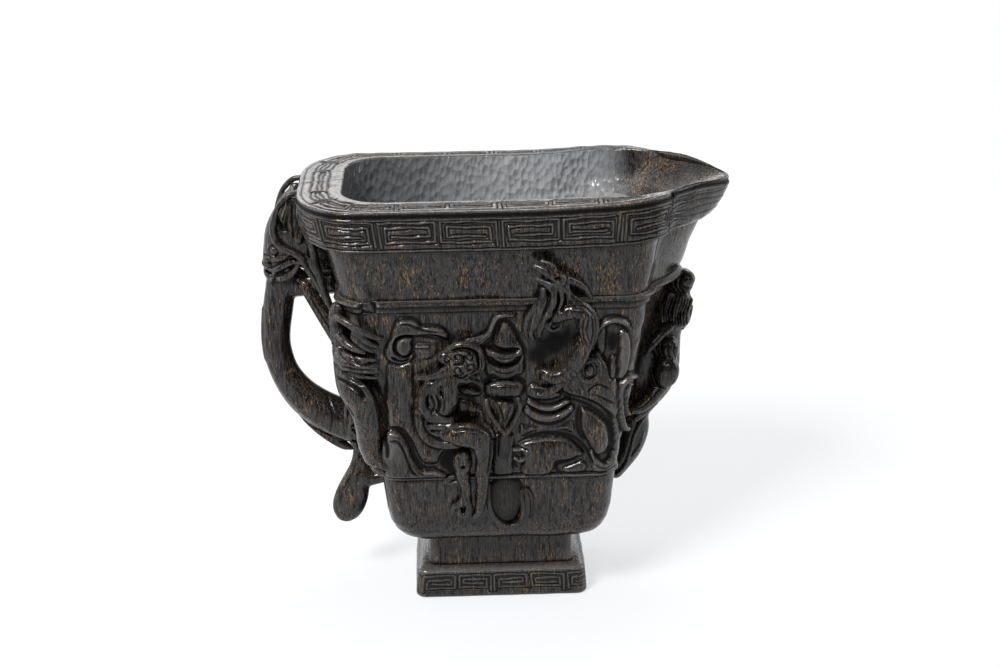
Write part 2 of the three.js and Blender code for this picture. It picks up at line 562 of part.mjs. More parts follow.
// Dragon reaching over the waist ridge towards the lip
function lipDragon(grow = 0) {
  const body = { grow, sides: 8 };
  const fine = { grow, sides: 6, steps: 1 };
  return joined([
    mass([15.6, 108, 3.4], [3.4, 3, 2.8], 30, body),
    mass([14.2, 101.6, 3.4], [4.6, 6.4, 3.2], -8, body),
    mass([10.6, 92.6, 1.8], [3, 4.8, 1.9], 10, body),
    ...limbs([
      [[15.8, 97.2, 3.8, 2.6], [22, 98.2, 4.6, 2.6], [24.5, 91.6, 4.4, 2.6], [21.6, 82.8, 4.2, 2.6],
        [18.6, 79, 4, 2.5], [12.8, 77.8, 2.9, 1.7]],
      [[23.6, 84.2, 2.4, 1.2], [22.4, 79, 2.8, 1.4], [25.4, 76.2, 2.6, 1.4], [28.2, 79, 2.6, 1.3],
        [25.6, 82, 2.6, 1.2]],
    ], body),
    ...limbs([
      [[14.6, 109.4, 4.2, 2.1], [12.2, 111.2, 4.2, 1.6], [9.6, 112.6, 3.2, 0.9]],
      [[14.4, 107.2, 4, 1.7], [10.2, 108.2, 3.4, 0.8]],
      [[16.6, 108.8, 3.2, 1.7], [21.6, 106, 1.8, 1.5], [25.6, 101.2, 1, 0.9]],
      [[19, 103, 2.6, 1.5], [24.6, 98.6, 3, 1.6], [26.6, 91, 2.2, 1.4], [25.6, 86.2, 1.8, 1]],
      [[17.6, 77.2, 2.8, 2], [14.4, 72.6, 2.1, 1.2]],
    ], fine),
  ]);
}

// Mask's forehead shield and snout between the dragons
function maskCrest(grow = 0) {
  return joined([
    plaque(1.6, [[-4.4, 78], [-4.4, 86.2], [-2.2, 88.4], [0, 92.6], [1.6, 93.4], [3.2, 91.4], [6, 86],
      [6.6, 78.6]], grow),
    limb([[1.2, 91, 0.8, 2], [1.2, 86, 0.8, 4], [1.1, 80.4, 0.8, 4.8]], { grow, flat: 0.4, sides: 6 }),
  ]);
}

function maskNose(grow = 0) {
  return limb([[1, 75.4, 0.6, 4.4], [1, 71.4, 0.8, 5], [0.9, 66.4, 0.8, 3.9], [0.7, 60.6, 0.8, 2.4],
    [0.7, 52, 0.5, 2.4]], { grow, flat: 0.42 });
}

// Dragon under the lip, climbing the end of the cup, standing proud of it
function endDragon() {
  const body = { end: "lip", sides: 8 };
  const fine = { end: "lip", sides: 6, steps: 1 };
  return joined([
    mass([12.2, 96.4, -2.6], [3.8, 4.4, 4], -30, body),
    mass([13.7, 97.9, -4.2], [2.3, 2.4, 2.4], 0, body),
    mass([12.2, 90.6, -4], [4.2, 4.2, 4.8], 20, body),
    mass([13, 85.6, -3.4], [3.5, 3.6, 4], 0, body),
    mass([11.4, 76.4, -6], [3, 3.8, 2.8], 0, body),
    mass([11.4, 69.4, -7.2], [4.1, 5.4, 3.4], -10, body),
    mass([7.4, 60, -5], [3.6, 5.6, 4], 30, body),
    ...limbs([
      [[10.2, 92, -1.6, 4.4], [10.5, 86, -1.4, 5], [10.1, 78, -1, 5.1], [10.6, 70, -1.4, 5.6],
        [8.8, 63, -1.8, 5.3], [5.4, 55.4, -2, 4.2]],
      [[7, 84, 1, 5], [6.1, 76, 0, 6], [4.9, 68, 0, 6.2], [3.6, 60, 0, 5.4]],
      [[5.5, 54.6, -1, 4.2], [6.1, 49, -1, 4.8], [5.6, 43.6, -1, 4.6], [4.1, 38.6, -0.6, 3.7],
        [2.7, 34, -0.2, 2.4]],
    ], body),
    ...limbs([
      [[11.4, 99.4, -3.6, 1.1], [9, 100.4, -5.4, 1], [6.6, 99.6, -7, 0.8]],
      [[13.4, 93.4, -5.4, 1.7], [11.6, 86.8, -6.6, 1.6]],
      [[10.2, 83.6, -6, 1.9], [7.4, 81.4, -8, 1.7], [3.8, 76, -9.6, 1]],
      [[10.4, 65, -7.4, 2.7], [5.2, 59.4, -10.2, 1.9], [3, 58.6, -10.8, 1.2]],
      [[9, 60, -6.4, 2.6], [5, 56.4, -8, 1.8]],
    ], fine),
  ]);
}

// The handle, its beast head, and the leaf under it

function handleLoop(grow = 0) {
  const bar = { end: "handle", grow };
  return joined([
    ...limbs([
      [[16.8, 101.6, 0, 4.4], [19.4, 96.6, 0, 4.5], [21.6, 90, 0, 4.5], [23.9, 82, 0, 4.2],
        [24.7, 76, 0, 4.3], [23.9, 69.4, 0, 4.5], [21.3, 63.4, 0, 5],
        [17.2, 58.6, 0, 5.6], [12.3, 55, 0, 6.2], [7.3, 52.6, 0, 6.4], [3.4, 50.6, 0, 5.6]],
      [[18.8, 98.2, 0, 4.2], [13.4, 97.8, 0, 4], [7.8, 98.4, 0, 4.2], [3.6, 99, 0, 4.6]],
    ], bar),
    limb([[20, 65, 0, 3.6], [14.5, 52, 0, 3], [8, 45.6, 0, 1.8]], { ...bar, sides: 6 }),
    mass([6, 55.2, -6], [2.9, 8.2, 2.5], -6, bar),
  ]);
}

const beastHead = (grow = 0) => {
  const skull = { end: "handle", grow };
  return joined([
    ...limbs([
      [[2.6, 121.4, 0, 6.4], [6.8, 118.8, 0, 7], [10.3, 114, 0, 7.5], [14.1, 109.4, 0, 6.4],
        [17.6, 105.4, 0, 4.7]],
      [[8.7, 112, 0, 7.8], [3.6, 109.6, 0, 8.4], [0.1, 107, 0, 8.4]],
      [[17.4, 104.2, 0, 4.6], [20.1, 101.8, 0, 3.2], [17.9, 100.8, 0, 3.8]],
    ], skull),
    ...[1, -1].map((side) => mass([16.6, 110, 4.8 * side], [2.1, 2.1, 2], 0, skull)),
  ]);
};

const beastEar = (grow = 0) => joined([
  limb([[8, 126, -8, 1.6], [9.6, 119.4, -8.4, 4.2], [9, 114.4, -8.6, 3.8],
    [6.6, 110.6, -9, 2.2]], { end: "handle", grow, flat: 0.45 }),
  limb([[11, 126, -9, 1.1], [13.6, 119, -9.4, 1.3], [13.4, 112.4, -9.6, 1.3], [8.4, 107.6, -10, 1.2],
    [7.6, 102, -9.8, 1.1], [5.8, 94.8, -8.8, 0.8]],
    { end: "handle", grow, sides: 6 }),
  limb([[5.4, 126.4, -11.4, 1], [4.6, 119.4, -12.6, 1.4], [4, 111.6, -12.4, 1.4], [5.8, 105.6, -12, 1.6],
    [5.4, 99, -11.6, 1.2], [4, 90.8, -10, 0.9]],
    { end: "handle", grow, sides: 6 }),
]);

const handleStrut = () => limb(
  [[11.8, 98.4, -3, 2], [7.8, 88.4, -4, 2.3], [4.4, 80, -4.5, 2.5],
    [0.2, 71.6, -4.5, 2.8]], { end: "handle" },
);

const handleLeaf = () => joined([
  limb([[5.5, 46.4, 0, 3.6], [6.6, 42, 0, 3], [8, 37.4, 0, 3.2], [9.9, 32.4, 0, 4.3], [12, 28, 0, 5.1],
    [14.5, 24.6, 0, 4.9], [16.6, 22.6, 0, 3.7]],
    { end: "handle", flat: 0.6 }),
  limb([[8.7, 34.6, 0, 2.2], [4.8, 33.6, 0, 2.2], [0.9, 34.4, 0, 2.2]], { end: "handle", sides: 6 }),
]);

// Assembly: each form is cut clear of the walls and of the forms that lie in front of it
const near = {
  corner_dragon: cornerDragon().subtract(keepClear),
  middle_dragon: middleDragon().subtract(keepClear),
  lip_dragon: lipDragon().subtract(keepClear).subtract(middleDragon(CLEARANCE)),
};
const dragonsGrown = joined([cornerDragon(CLEARANCE), middleDragon(CLEARANCE), lipDragon(CLEARANCE)]);
near.mask_crest = maskCrest().subtract(keepClear).subtract(dragonsGrown);
near.mask_nose = maskNose().subtract(keepClear).subtract(dragonsGrown);

for (const [name, form] of Object.entries(near)) {
  addMesh("near_" + name, geometryOf(mainBody(form)));
  addFarMesh("far_" + name, geometryOf(mainBody(form)));
}

const loopGrown = handleLoop(CLEARANCE);
const headGrown = beastHead(CLEARANCE);
addMesh("handle_loop", geometryOf(mainBody(handleLoop().subtract(keepClear))));
addMesh("handle_beast_head", geometryOf(mainBody(beastHead().subtract(keepClear).subtract(loopGrown))));
const ear = mainBody(beastEar().subtract(keepClear).subtract(headGrown).subtract(loopGrown).subtract(cornerDragon(CLEARANCE)));
addMesh("near_beast_ear", geometryOf(ear));
addFarMesh("far_beast_ear", geometryOf(ear));
addMesh("handle_strut",
  geometryOf(mainBody(handleStrut().subtract(keepClear).subtract(loopGrown).subtract(headGrown))));
addMesh("handle_leaf", geometryOf(mainBody(handleLeaf().subtract(keepClear).subtract(loopGrown))));
addMesh("end_dragon", geometryOf(mainBody(endDragon().subtract(keepClear).subtract(lipDragon(CLEARANCE)))));

export default cup;
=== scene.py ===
import math
import bpy
import numpy as np
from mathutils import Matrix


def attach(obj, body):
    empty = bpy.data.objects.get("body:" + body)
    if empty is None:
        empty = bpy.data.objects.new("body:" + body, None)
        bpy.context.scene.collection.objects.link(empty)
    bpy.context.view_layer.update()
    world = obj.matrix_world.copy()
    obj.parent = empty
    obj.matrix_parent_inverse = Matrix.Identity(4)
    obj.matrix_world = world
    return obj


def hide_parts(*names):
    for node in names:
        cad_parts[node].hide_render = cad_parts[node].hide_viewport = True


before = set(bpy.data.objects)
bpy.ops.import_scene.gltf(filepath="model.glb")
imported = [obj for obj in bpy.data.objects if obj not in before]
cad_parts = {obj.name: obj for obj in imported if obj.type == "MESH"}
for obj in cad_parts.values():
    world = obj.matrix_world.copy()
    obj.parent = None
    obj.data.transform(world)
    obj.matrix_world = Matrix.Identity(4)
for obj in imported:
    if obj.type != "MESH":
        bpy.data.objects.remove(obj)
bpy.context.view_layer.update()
import openvdb as vdb
from mathutils import Matrix, Vector

# Camera, floor and light.
# A white table that sweeps up into a white backdrop, a small strong lamp high on the left, soft ones behind
# and at both sides, and little light from the camera's side, for crisp highlights on a dark front.
MM = 0.001
CAMERA_AZIMUTH, CAMERA_ELEVATION, CAMERA_ROLL = math.radians(-2.12), math.radians(20.34), math.radians(-0.60)
CAMERA_AIM = Vector((0.00082, 0, 0.0803))
CAMERA_DISTANCE = 0.55
back = Vector((
    math.sin(CAMERA_AZIMUTH) * math.cos(CAMERA_ELEVATION),
    -math.cos(CAMERA_AZIMUTH) * math.cos(CAMERA_ELEVATION),
    math.sin(CAMERA_ELEVATION),
))
level = Vector((0, 0, 1)).cross(back).normalized()
upright = back.cross(level)
right = level * math.cos(CAMERA_ROLL) + upright * math.sin(CAMERA_ROLL)
up = upright * math.cos(CAMERA_ROLL) - level * math.sin(CAMERA_ROLL)
camera_data = bpy.data.cameras.new("camera")
camera_data.sensor_width = 36
camera_data.lens = 65.52
camera_data.clip_start = 0.01
camera = bpy.data.objects.new("camera", camera_data)
facing = Matrix((right, up, back)).transposed().to_4x4()
camera.matrix_world = Matrix.Translation(CAMERA_AIM + back * CAMERA_DISTANCE) @ facing
bpy.context.scene.collection.objects.link(camera)
bpy.context.scene.camera = camera


class Socket:
    """One output of a shader node, with the sums that a maker of materials writes on it."""

    def __init__(self, tree, output):
        self.tree, self.output = tree, output

    def math(self, operation, *values):
        return node(
            self.tree, "ShaderNodeMath", {"operation": operation},
            {i: v for i, v in enumerate((self, *values))}
        )

    def __add__(self, other):
        return self.math("ADD", other)

    def __sub__(self, other):
        return self.math("SUBTRACT", other)

    def __rsub__(self, other):
        return (self * -1) + other

    def __mul__(self, other):
        return self.math("MULTIPLY", other)

    __radd__ = __add__
    __rmul__ = __mul__


def node(tree, kind, settings=None, inputs=None, output=0):
    """Any node: its settings first, then the values or links of its sockets."""
    made = tree.nodes.new(kind)
    for key, value in (settings or {}).items():
        setattr(made, key, value)
    for key, value in (inputs or {}).items():
        if isinstance(value, Socket):
            tree.links.new(value.output, made.inputs[key])
        else:
            made.inputs[key].default_value = value
    return Socket(tree, made.outputs[output]) if made.outputs else None


def new_material(name):
    """A material whose node tree is still empty, and that tree."""
    material = bpy.data.materials.new(name)
    material.use_nodes = True
    tree = material.node_tree
    tree.nodes.clear()
    return material, tree


def smooth(tree, value, zero_at, one_at):
    """A ramp with soft ends, whichever way it runs."""
    return node(
        tree, "ShaderNodeMapRange", {"interpolation_type": "SMOOTHSTEP"},
        {0: value, 1: zero_at, 2: one_at, 3: 0.0, 4: 1.0}
    )


floor_white, tree = new_material("white_table")
rays = tree.nodes.new("ShaderNodeLightPath")
seen = Socket(tree, rays.outputs["Is Camera Ray"])
for kind in ("Is Glossy Ray", "Is Transmission Ray"):
    seen = seen.math("MAXIMUM", Socket(tree, rays.outputs[kind]))
place = node(tree, "ShaderNodeTexCoord", output=3)
depth = node(tree, "ShaderNodeSeparateXYZ", None, {0: place}, output=1)
card = node(tree, "ShaderNodeBsdfDiffuse", None, {"Color": (0.26, 0.262, 0.265, 1)})
FRONT_GLOW, TABLE_GLOW, BACKDROP_GLOW = 0.27, 0.35, 0.06
strength = seen * (
    FRONT_GLOW + TABLE_GLOW * smooth(
        tree, depth, -0.40, -0.06
    ) + BACKDROP_GLOW * smooth(tree, depth, -0.3, 0.85)
)
glow = node(tree, "ShaderNodeEmission", None, {"Color": (0.975, 0.985, 1.0, 1), "Strength": strength})
surface = node(tree, "ShaderNodeAddShader", None, {0: card, 1: glow})
node(tree, "ShaderNodeOutputMaterial", None, {"Surface": surface})

FLOOR_REACH, BACKDROP_PLACE, BACKDROP_TOP, SWEEP_RADIUS, HALF_WIDTH = 2.2, 0.9, 2.6, 0.5, 3
sweep = [
    (BACKDROP_PLACE - SWEEP_RADIUS + SWEEP_RADIUS * math.sin(t), SWEEP_RADIUS * (1 - math.cos(t)))
    for t in np.linspace(0, math.pi / 2, 13)
]
profile = [(-FLOOR_REACH, 0.0), *sweep, (BACKDROP_PLACE, BACKDROP_TOP)]
floor_mesh = bpy.data.meshes.new("table")
floor_mesh.from_pydata(
    [(x, y, z) for x in (-HALF_WIDTH, HALF_WIDTH) for y, z in profile], [],
    [(i, i + 1, len(profile) + i + 1, len(profile) + i) for i in range(len(profile) - 1)],
)
floor_mesh.materials.append(floor_white)
for face in floor_mesh.polygons:
    face.use_smooth = True
floor = bpy.data.objects.new("table", floor_mesh)
bpy.context.scene.collection.objects.link(floor)


LAMP_AIM = Vector((0, 0, 0.07))


def soft_lamp(name, place, size, power):
    """A rectangular lamp that looks at the cup."""
    lamp = bpy.data.lights.new(name, "AREA")
    lamp.shape = "RECTANGLE"
    lamp.size, lamp.size_y = size
    lamp.energy = power
    made = bpy.data.objects.new(name, lamp)
    made.location = place
    made.rotation_euler = (LAMP_AIM - Vector(place)).to_track_quat("-Z", "Y").to_euler()
    bpy.context.scene.collection.objects.link(made)


for lamp_name, lamp_place, lamp_size, lamp_power in (  # place and size in metres, power in watts
    ("lamp_high_left", (-0.45, -0.60, 0.90), (0.32, 0.32), 15.5),
    ("lamp_front", (0.10, -1.05, 0.72), (0.60, 0.22), 1.9),
    ("lamp_above", (0.05, 0.25, 1.20), (0.55, 0.35), 5.0),
    ("lamp_behind", (-0.10, 0.82, 0.46), (1.30, 0.30), 3.4),
    ("lamp_left", (-1.0, 0.15, 0.50), (0.6, 0.8), 3.6),
    ("lamp_right", (1.0, 0.10, 0.45), (0.6, 0.8), 4.4),
):
    soft_lamp(lamp_name, lamp_place, lamp_size, lamp_power)
world = bpy.data.worlds.new("white_room")
world.use_nodes = True
tree = world.node_tree
sky = node(tree, "ShaderNodeTexCoord")
to_back = smooth(tree, node(tree, "ShaderNodeSeparateXYZ", None, {0: sky}, output=1), -0.7, 0.6)
tree.nodes["Background"].inputs["Color"].default_value = (0.97, 0.98, 1.0, 1)
tree.links.new((0.03 + 0.60 * to_back).output, tree.nodes["Background"].inputs["Strength"])
bpy.context.scene.world = world
bpy.context.scene.view_settings.view_transform = "Standard"

# Horn.
# One block of dark horn with fine upright fibres, open grain and amber flecks: polished, worn pale along
# its edges with a painted highlight on them, dull and painted black with shade in the cuts, and inside
# dimpled by the scraper, with a painted grey sheen that brightens towards the lip.
BLACK_HORN, BROWN_HORN = (0.0036, 0.0034, 0.0034, 1), (0.0090, 0.0078, 0.0070, 1)
PALE_FIBRE, AMBER_FLECK = (0.056, 0.049, 0.043, 1), (0.230, 0.124, 0.040, 1)
WORN_AND_HIGHLIT_EDGE, SHADE_AND_GRIME = (0.150, 0.144, 0.138, 1), (0.0016, 0.0015, 0.0014, 1)
DIM_PAINTED_SHEEN, BRIGHT_PAINTED_SHEEN = (0.100, 0.103, 0.108, 1), (0.350, 0.357, 0.368, 1)


def blend_colours(tree, share, first, second):
    settings = {"data_type": "RGBA", "clamp_factor": True}
    return node(tree, "ShaderNodeMix", settings, {0: share, 6: first, 7: second}, output=2)


def horn_material():
    material, tree = new_material("polished_horn")
    place = node(tree, "ShaderNodeTexCoord", output=3)

    def grain(width, height, detail, offset=0.0):
        """Noise whose blots are so many millimetres wide and high."""
        shift = (offset, offset * 0.7, offset * 0.3)
        stretch = {"Vector": place, "Scale": (1, 1, width / height), "Location": shift}
        spread = node(tree, "ShaderNodeMapping", None, stretch)
        blots = {"Vector": spread, "Scale": 1000 / width, "Detail": detail, "Roughness": 0.6}
        return node(tree, "ShaderNodeTexNoise", None, blots)

    # painted shade in cuts and hollows, worn edges with a painted highlight, and the cavity
    painted_shade, worn_and_highlit, inside = (
        node(tree, "ShaderNodeAttribute", {"attribute_name": label}, output=2)
        for label in ("painted_shade", "worn_and_highlit", "inside")
    )
    # the horn's own pattern, from hair-fine threads to slow clouds
    fibres = grain(0.75, 8.0, 3.0)
    threads_in_horn = grain(0.36, 3.0, 2.0, 0.8)
    dashes = grain(0.34, 2.4, 1.0, 0.3)
    clouds = grain(16, 30, 3.0)
    patches = grain(7, 16, 2.0, 1.3)
    fibre_mix = fibres * 0.5 + threads_in_horn * 0.5
    pale = smooth(tree, fibre_mix, 0.44, 0.60)
    fleck = smooth(tree, dashes + (patches - 0.5) * 0.50, 0.65, 0.715) * (1 - painted_shade * 0.5) * (1 - inside)
    body = blend_colours(tree, smooth(tree, clouds, 0.35, 0.68), BLACK_HORN, BROWN_HORN)
    body = blend_colours(tree, pale * (0.25 + 0.7 * patches), body, PALE_FIBRE)
    body = blend_colours(tree, fleck * 0.85, body, AMBER_FLECK)
    # edges worn pale: the paleness is partly wear and partly a painted highlight
    body = blend_colours(tree, worn_and_highlit * 0.45, body, WORN_AND_HIGHLIT_EDGE)
    # a painted grey sheen in the cavity, dim at the handle end and bright towards the lip
    along_cup = node(tree, "ShaderNodeSeparateXYZ", None, {0: place}, output=0)
    toward_lip = smooth(tree, along_cup, -0.034, 0.012)
    painted_sheen = blend_colours(tree, toward_lip, DIM_PAINTED_SHEEN, BRIGHT_PAINTED_SHEEN)
    body = blend_colours(tree, inside * 0.85, body, painted_sheen)
    # the surface's fine unevenness, and its gloss
    scraper_strokes = {"Vector": place, "Scale": (1.0, 1.0, 0.55), "Rotation": (0.0, 0.25, 0.0)}
    scraped = node(tree, "ShaderNodeMapping", None, scraper_strokes)
    dimples = node(tree, "ShaderNodeTexVoronoi", {"feature": "F1"}, {"Vector": scraped, "Scale": 620})
    facets = grain(1.3, 3.0, 2.0, 2.1)
    scratches = smooth(tree, dashes, 0.34, 0.24)
    height = fibres * 0.24 + threads_in_horn * 0.06 + facets * 0.30 - scratches * 0.10 + patches * 0.5
    height = height * (1 - inside * 0.5) + inside * dimples * 4.2
    relief = node(tree, "ShaderNodeBump", None, {"Height": height, "Strength": 1.0, "Distance": 0.0002})
    gloss = 0.15 + smooth(tree, clouds, 0.3, 0.75) * 0.05 + (1 - pale) * 0.02 + inside * 0.04 - worn_and_highlit * 0.05
    polished = node(tree, "ShaderNodeBsdfPrincipled", None, {
        "Base Color": body, "Roughness": gloss, "Normal": relief, "IOR": 1.45,
        "Coat Weight": inside * 0.8, "Coat Roughness": 0.14,
    })
    # a near-black dull shader: painted shade in the cuts and hollows, and the dark of the open grain
    shade_and_grime = node(tree, "ShaderNodeBsdfPrincipled", None, {
        "Base Color": SHADE_AND_GRIME, "Roughness": 0.6, "Specular IOR Level": 0.08, "Normal": relief,
    })
    open_grain = smooth(tree, fibre_mix, 0.49, 0.40) * (0.25 + 0.9 * patches)
    open_grain = open_grain * (1 - inside) * (1 - worn_and_highlit * 0.6)
    # painted shade where the cuts and hollows are, and the open grain, take the near-black shader
    shade_and_open_grain = (painted_shade * 0.92).math("MAXIMUM", open_grain * 0.8)
    surface = node(tree, "ShaderNodeMixShader", None, {0: shade_and_open_grain, 1: polished, 2: shade_and_grime})
    node(tree, "ShaderNodeOutputMaterial", None, {"Surface": surface})
    return material


HORN = horn_material()


def proudness(mesh, rounds):
    """How far each point stands out of the mean of its surroundings, in millimetres; negative in a cut."""
    points = np.empty(len(mesh.vertices) * 3, np.float32)
    mesh.vertices.foreach_get("co", points)
    points = points.reshape(-1, 3) / MM
    normals = np.empty(len(points) * 3, np.float32)
    mesh.vertex_normals.foreach_get("vector", normals)
    edges = np.empty(len(mesh.edges) * 2, np.int32)
    mesh.edges.foreach_get("vertices", edges)
    ends = np.concatenate([edges[0::2], edges[1::2]])
    others = np.concatenate([edges[1::2], edges[0::2]])
    count = np.maximum(np.bincount(ends, minlength=len(points)), 1)
    mean = points.copy()
    for _ in range(rounds):
        around = np.stack([np.bincount(ends, mean[others, i], len(points)) for i in range(3)], -1)
        mean = (mean + around / count[:, None]) / 2
    return ((points - mean) * normals.reshape(-1, 3)).sum(1)


EDGE_ROUNDS, FORM_ROUNDS = 7, 35


def carved(name, points, faces, painted_shade, inside=None, flat_faces=(), seam=None):
    """A piece of the carving from points in millimetres. Painted shade darkens its cuts and broad dips,
    and its proud edges and bulges are worn pale, the paleness also a painted highlight, all by how they
    lie; what is known already about a cut's painted shade, about the cavity and about a seam with the
    next piece comes in as a value for each point."""
    mesh = bpy.data.meshes.new(name)
    mesh.from_pydata((np.asarray(points) * MM).tolist(), [], [list(map(int, f)) for f in faces])
    mesh.polygons.foreach_set("use_smooth", [True] * len(mesh.polygons))
    for index in flat_faces:
        mesh.polygons[index].use_smooth = False
    proud, lie = proudness(mesh, EDGE_ROUNDS), proudness(mesh, FORM_ROUNDS)
    plain = 1 if seam is None else 1 - np.asarray(seam)
    sharp_edge, broad_bulge = np.clip((proud - 0.035) / 0.12, 0, 1), np.clip((lie - 0.15) / 0.5, 0, 1)
    sharp_cut, broad_dip = np.clip((-proud - 0.015) / 0.07, 0, 1), np.clip((-lie - 0.06) / 0.40, 0, 1)
    # proud edges and bulges worn pale, also a painted highlight; painted shade in cuts and broad dips
    worn_and_highlit = np.maximum(sharp_edge, 0.5 * broad_bulge) * plain
    sunk = np.maximum(sharp_cut, 0.75 * broad_dip) * plain
    inside = np.zeros(len(points)) if inside is None else inside
    painted_shade = np.maximum(sunk, painted_shade)
    attributes = {
        "painted_shade": painted_shade * (1 - inside), "inside": inside, "worn_and_highlit": worn_and_highlit * (1 - np.clip(painted_shade, 0, 1))
    }
    for label, values in attributes.items():
        attribute = mesh.attributes.new(label, "FLOAT", "POINT")
        attribute.data.foreach_set("value", np.clip(values, 0, 1).astype(np.float32))
    mesh.materials.append(HORN)
    mesh.validate()
    piece = bpy.data.objects.new(name, mesh)
    bpy.context.scene.collection.objects.link(piece)
    return piece


def place_piece(piece, *nodes):
    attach(piece, "root")
    if nodes:
        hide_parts(*nodes)


def far_copy(piece, name, *nodes):
    """The same carving on the cup's far side."""
    twin = piece.copy()
    twin.data = piece.data.copy()
    twin.name = twin.data.name = name
    twin.data.transform(Matrix.Diagonal((1, -1, 1, 1)))
    twin.data.flip_normals()
    bpy.context.scene.collection.objects.link(twin)
    place_piece(twin, *nodes)


# Plain lower bowl.
# The rounded underside of the cup, left plain and polished, with the cavity's floor inside it. It is turned
# in from the wall above and rests on the foot's neck.
FOOT_TOP, BOWL_TOP, RELIEF_TOP, WAIST_TOP, BAND_LOW, RIM_TOP = 20.5, 43.0, 97.5, 101.3, 116.5, 128.5
CAVITY_FLOOR, FLOOR_DIP = 32.0, 3.0
# Each row: height, reach to the handle end and to the lip end, half depth, the handle-end corner along and
# across, the lip-end corner along and across, and how far the lip swells out.
OUTSIDE = np.array([
    (20.5, 26.0, 25.6, 16.6, 6.6, 6.6, 6.6, 6.6, 0),
    (21.1, 28.6, 28.2, 18.3, 7.3, 7.3, 7.3, 7.3, 0),
    (22.4, 30.9, 30.1, 19.8, 7.8, 7.8, 7.8, 7.8, 0),
    (24.2, 32.4, 31.4, 21.0, 8, 8, 8, 8, 0),
    (27.0, 33.6, 32.6, 22.1, 8, 8, 8, 8, 0),
    (31.0, 34.4, 33.4, 22.9, 8, 8, 8, 8, 0),
    (43.0, 35.5, 34.5, 24.0, 8, 8, 8, 8, 0),
    (69.75, 40.5, 39.0, 26.0, 8, 8, 8, 8, 1),
    (97.5, 45.1, 43.0, 27.6, 8, 8, 8, 8, 9),
    (101.3, 45.7, 43.1, 27.95, 8, 9, 8.5, 8, 11.5),
    (108.0, 47.8, 44.2, 29.2, 10, 12, 11, 9, 13),
    (116.5, 51.0, 46.0, 31.0, 14, 18, 16, 11, 14.6),
])
CAVITY = np.array([
    (32.0, 30.4, 29.4, 18.9, 4, 4, 4, 4, 0),
    (43.0, 31.5, 30.5, 20.0, 4, 4, 4, 4, 0),
    (69.75, 36.5, 35.0, 22.0, 4.5, 4.5, 4.5, 4.5, 0.3),
    (97.5, 41.0, 39.0, 23.6, 5, 5, 6, 6, 2.6),
    (101.3, 41.6, 39.2, 23.9, 7, 8, 7, 6, 3.2),
    (116.5, 44.4, 42.0, 24.5, 11, 12, 12, 8, 6.5),
])


def ease(value, low, high):
    """Zero at the low value and one at the high one, with soft ends."""
    t = np.clip((value - low) / (high - low), 0, 1)
    return t * t * (3 - 2 * t)


def outline(kind, share, sizes, inner=False):
    """The near half of the cup seen from above: handle end, corner, long side, corner, lip end. The cavity
    runs out to the lip in one even curve instead of turning its own corner first."""
    left, right_reach, half, end_x, end_y, lip_x, lip_y, lip = sizes
    turn = share * math.pi / 2
    flat, lip_flat = half - end_y, half - lip_y
    # the lip swells in a wedge, rounded where it leaves the wall and at its tip
    root = np.minimum(half * 0.66, lip_flat - 1)
    lip_side = lip_flat * (1 - share)
    wedge = 1 - (np.sqrt((lip_side / root) ** 2 + 0.16) - 0.4) / 0.677
    wedge = (wedge + np.sqrt(wedge ** 2 + 0.016)) / 2
    kinds = [kind == i for i in range(5)]
    side_x = -left + end_x + (left + right_reach - end_x - lip_x) * share
    corner_x = right_reach - lip_x
    x = np.select(kinds, [
        -left + 0 * share, -left + end_x - end_x * np.cos(turn), side_x, corner_x + lip_x * np.sin(turn),
        right_reach + lip * wedge,
    ])
    y = -np.select(kinds, [
        flat * share, flat + end_y * np.sin(turn), half + 0 * share, lip_flat + lip_y * np.cos(turn),
        lip_side,
    ])
    if inner:
        runs_out = ease(lip, 0, 9)
        bend = turn / 2 + np.where(kind == 4, math.pi / 4, 0)
        swept_x = corner_x + (right_reach + lip - corner_x) * np.sin(bend) ** 1.4
        swept_y = -half * (1 + 0.10 * runs_out) * np.cos(bend) ** 1.2
        blend = runs_out * (kind >= 3)
        x, y = x * (1 - blend) + swept_x * blend, y * (1 - blend) + swept_y * blend
        y = np.where(kind == 2, y * (1 + 0.10 * runs_out * ease(x, corner_x - 16, corner_x)), y)
    quarter = end_x * math.pi / 2
    around = np.select(
        kinds,
        [-(left - end_x + quarter + flat * (1 - share)), -(left - end_x + end_x * (math.pi / 2 - turn)),
         side_x, corner_x + lip_x * turn, corner_x + lip_x * math.pi / 2 + lip_flat * share,]
    )
    return x, y, around


def climb(x, z):
    """The rim is not quite level: it climbs towards the lip and drops again at the lip's tip."""
    rim_rise = 0.25 + 1.5 * ease(x, 5, 50) - 1.5 * ease(x, 56, 70)
    return rim_rise * np.clip((z - WAIST_TOP) / (RIM_TOP - WAIST_TOP), 0, 1)


def stations(end, corner, side, lip_corner, lip):
    """Places round the near half: so many on each of its five stretches, each as a kind and a share of it."""
    counts = (end, corner, side, lip_corner)
    kind = np.repeat([0, 1, 2, 3, 4], [*counts, lip + 1])
    share = np.concatenate([np.arange(n) / n for n in counts] + [np.linspace(0, 1, lip + 1)])
    return kind, share


def facet_depth(x):
    """The shallow upright facets that the scraper left in the cavity, by their place along the cup."""
    return 0.016 * (np.abs(np.cos(math.pi * (x + 3) / 15.5)) - 0.64)


def outward(grid, rising):
    """The outward direction at each point of a near half wall, whose ends lie on the cup's middle line."""
    along = np.gradient(grid, axis=0)
    along[0], along[-1] = (0, -1, 0), (0, 1, 0)
    out = np.cross(along, rising)
    return out / np.linalg.norm(out, axis=-1, keepdims=True)


def sizes_at(z, table=OUTSIDE):
    """The measures of the cup's outline at a height."""
    return tuple(np.interp(z, table[:, 0], table[:, i]) for i in range(1, 9))


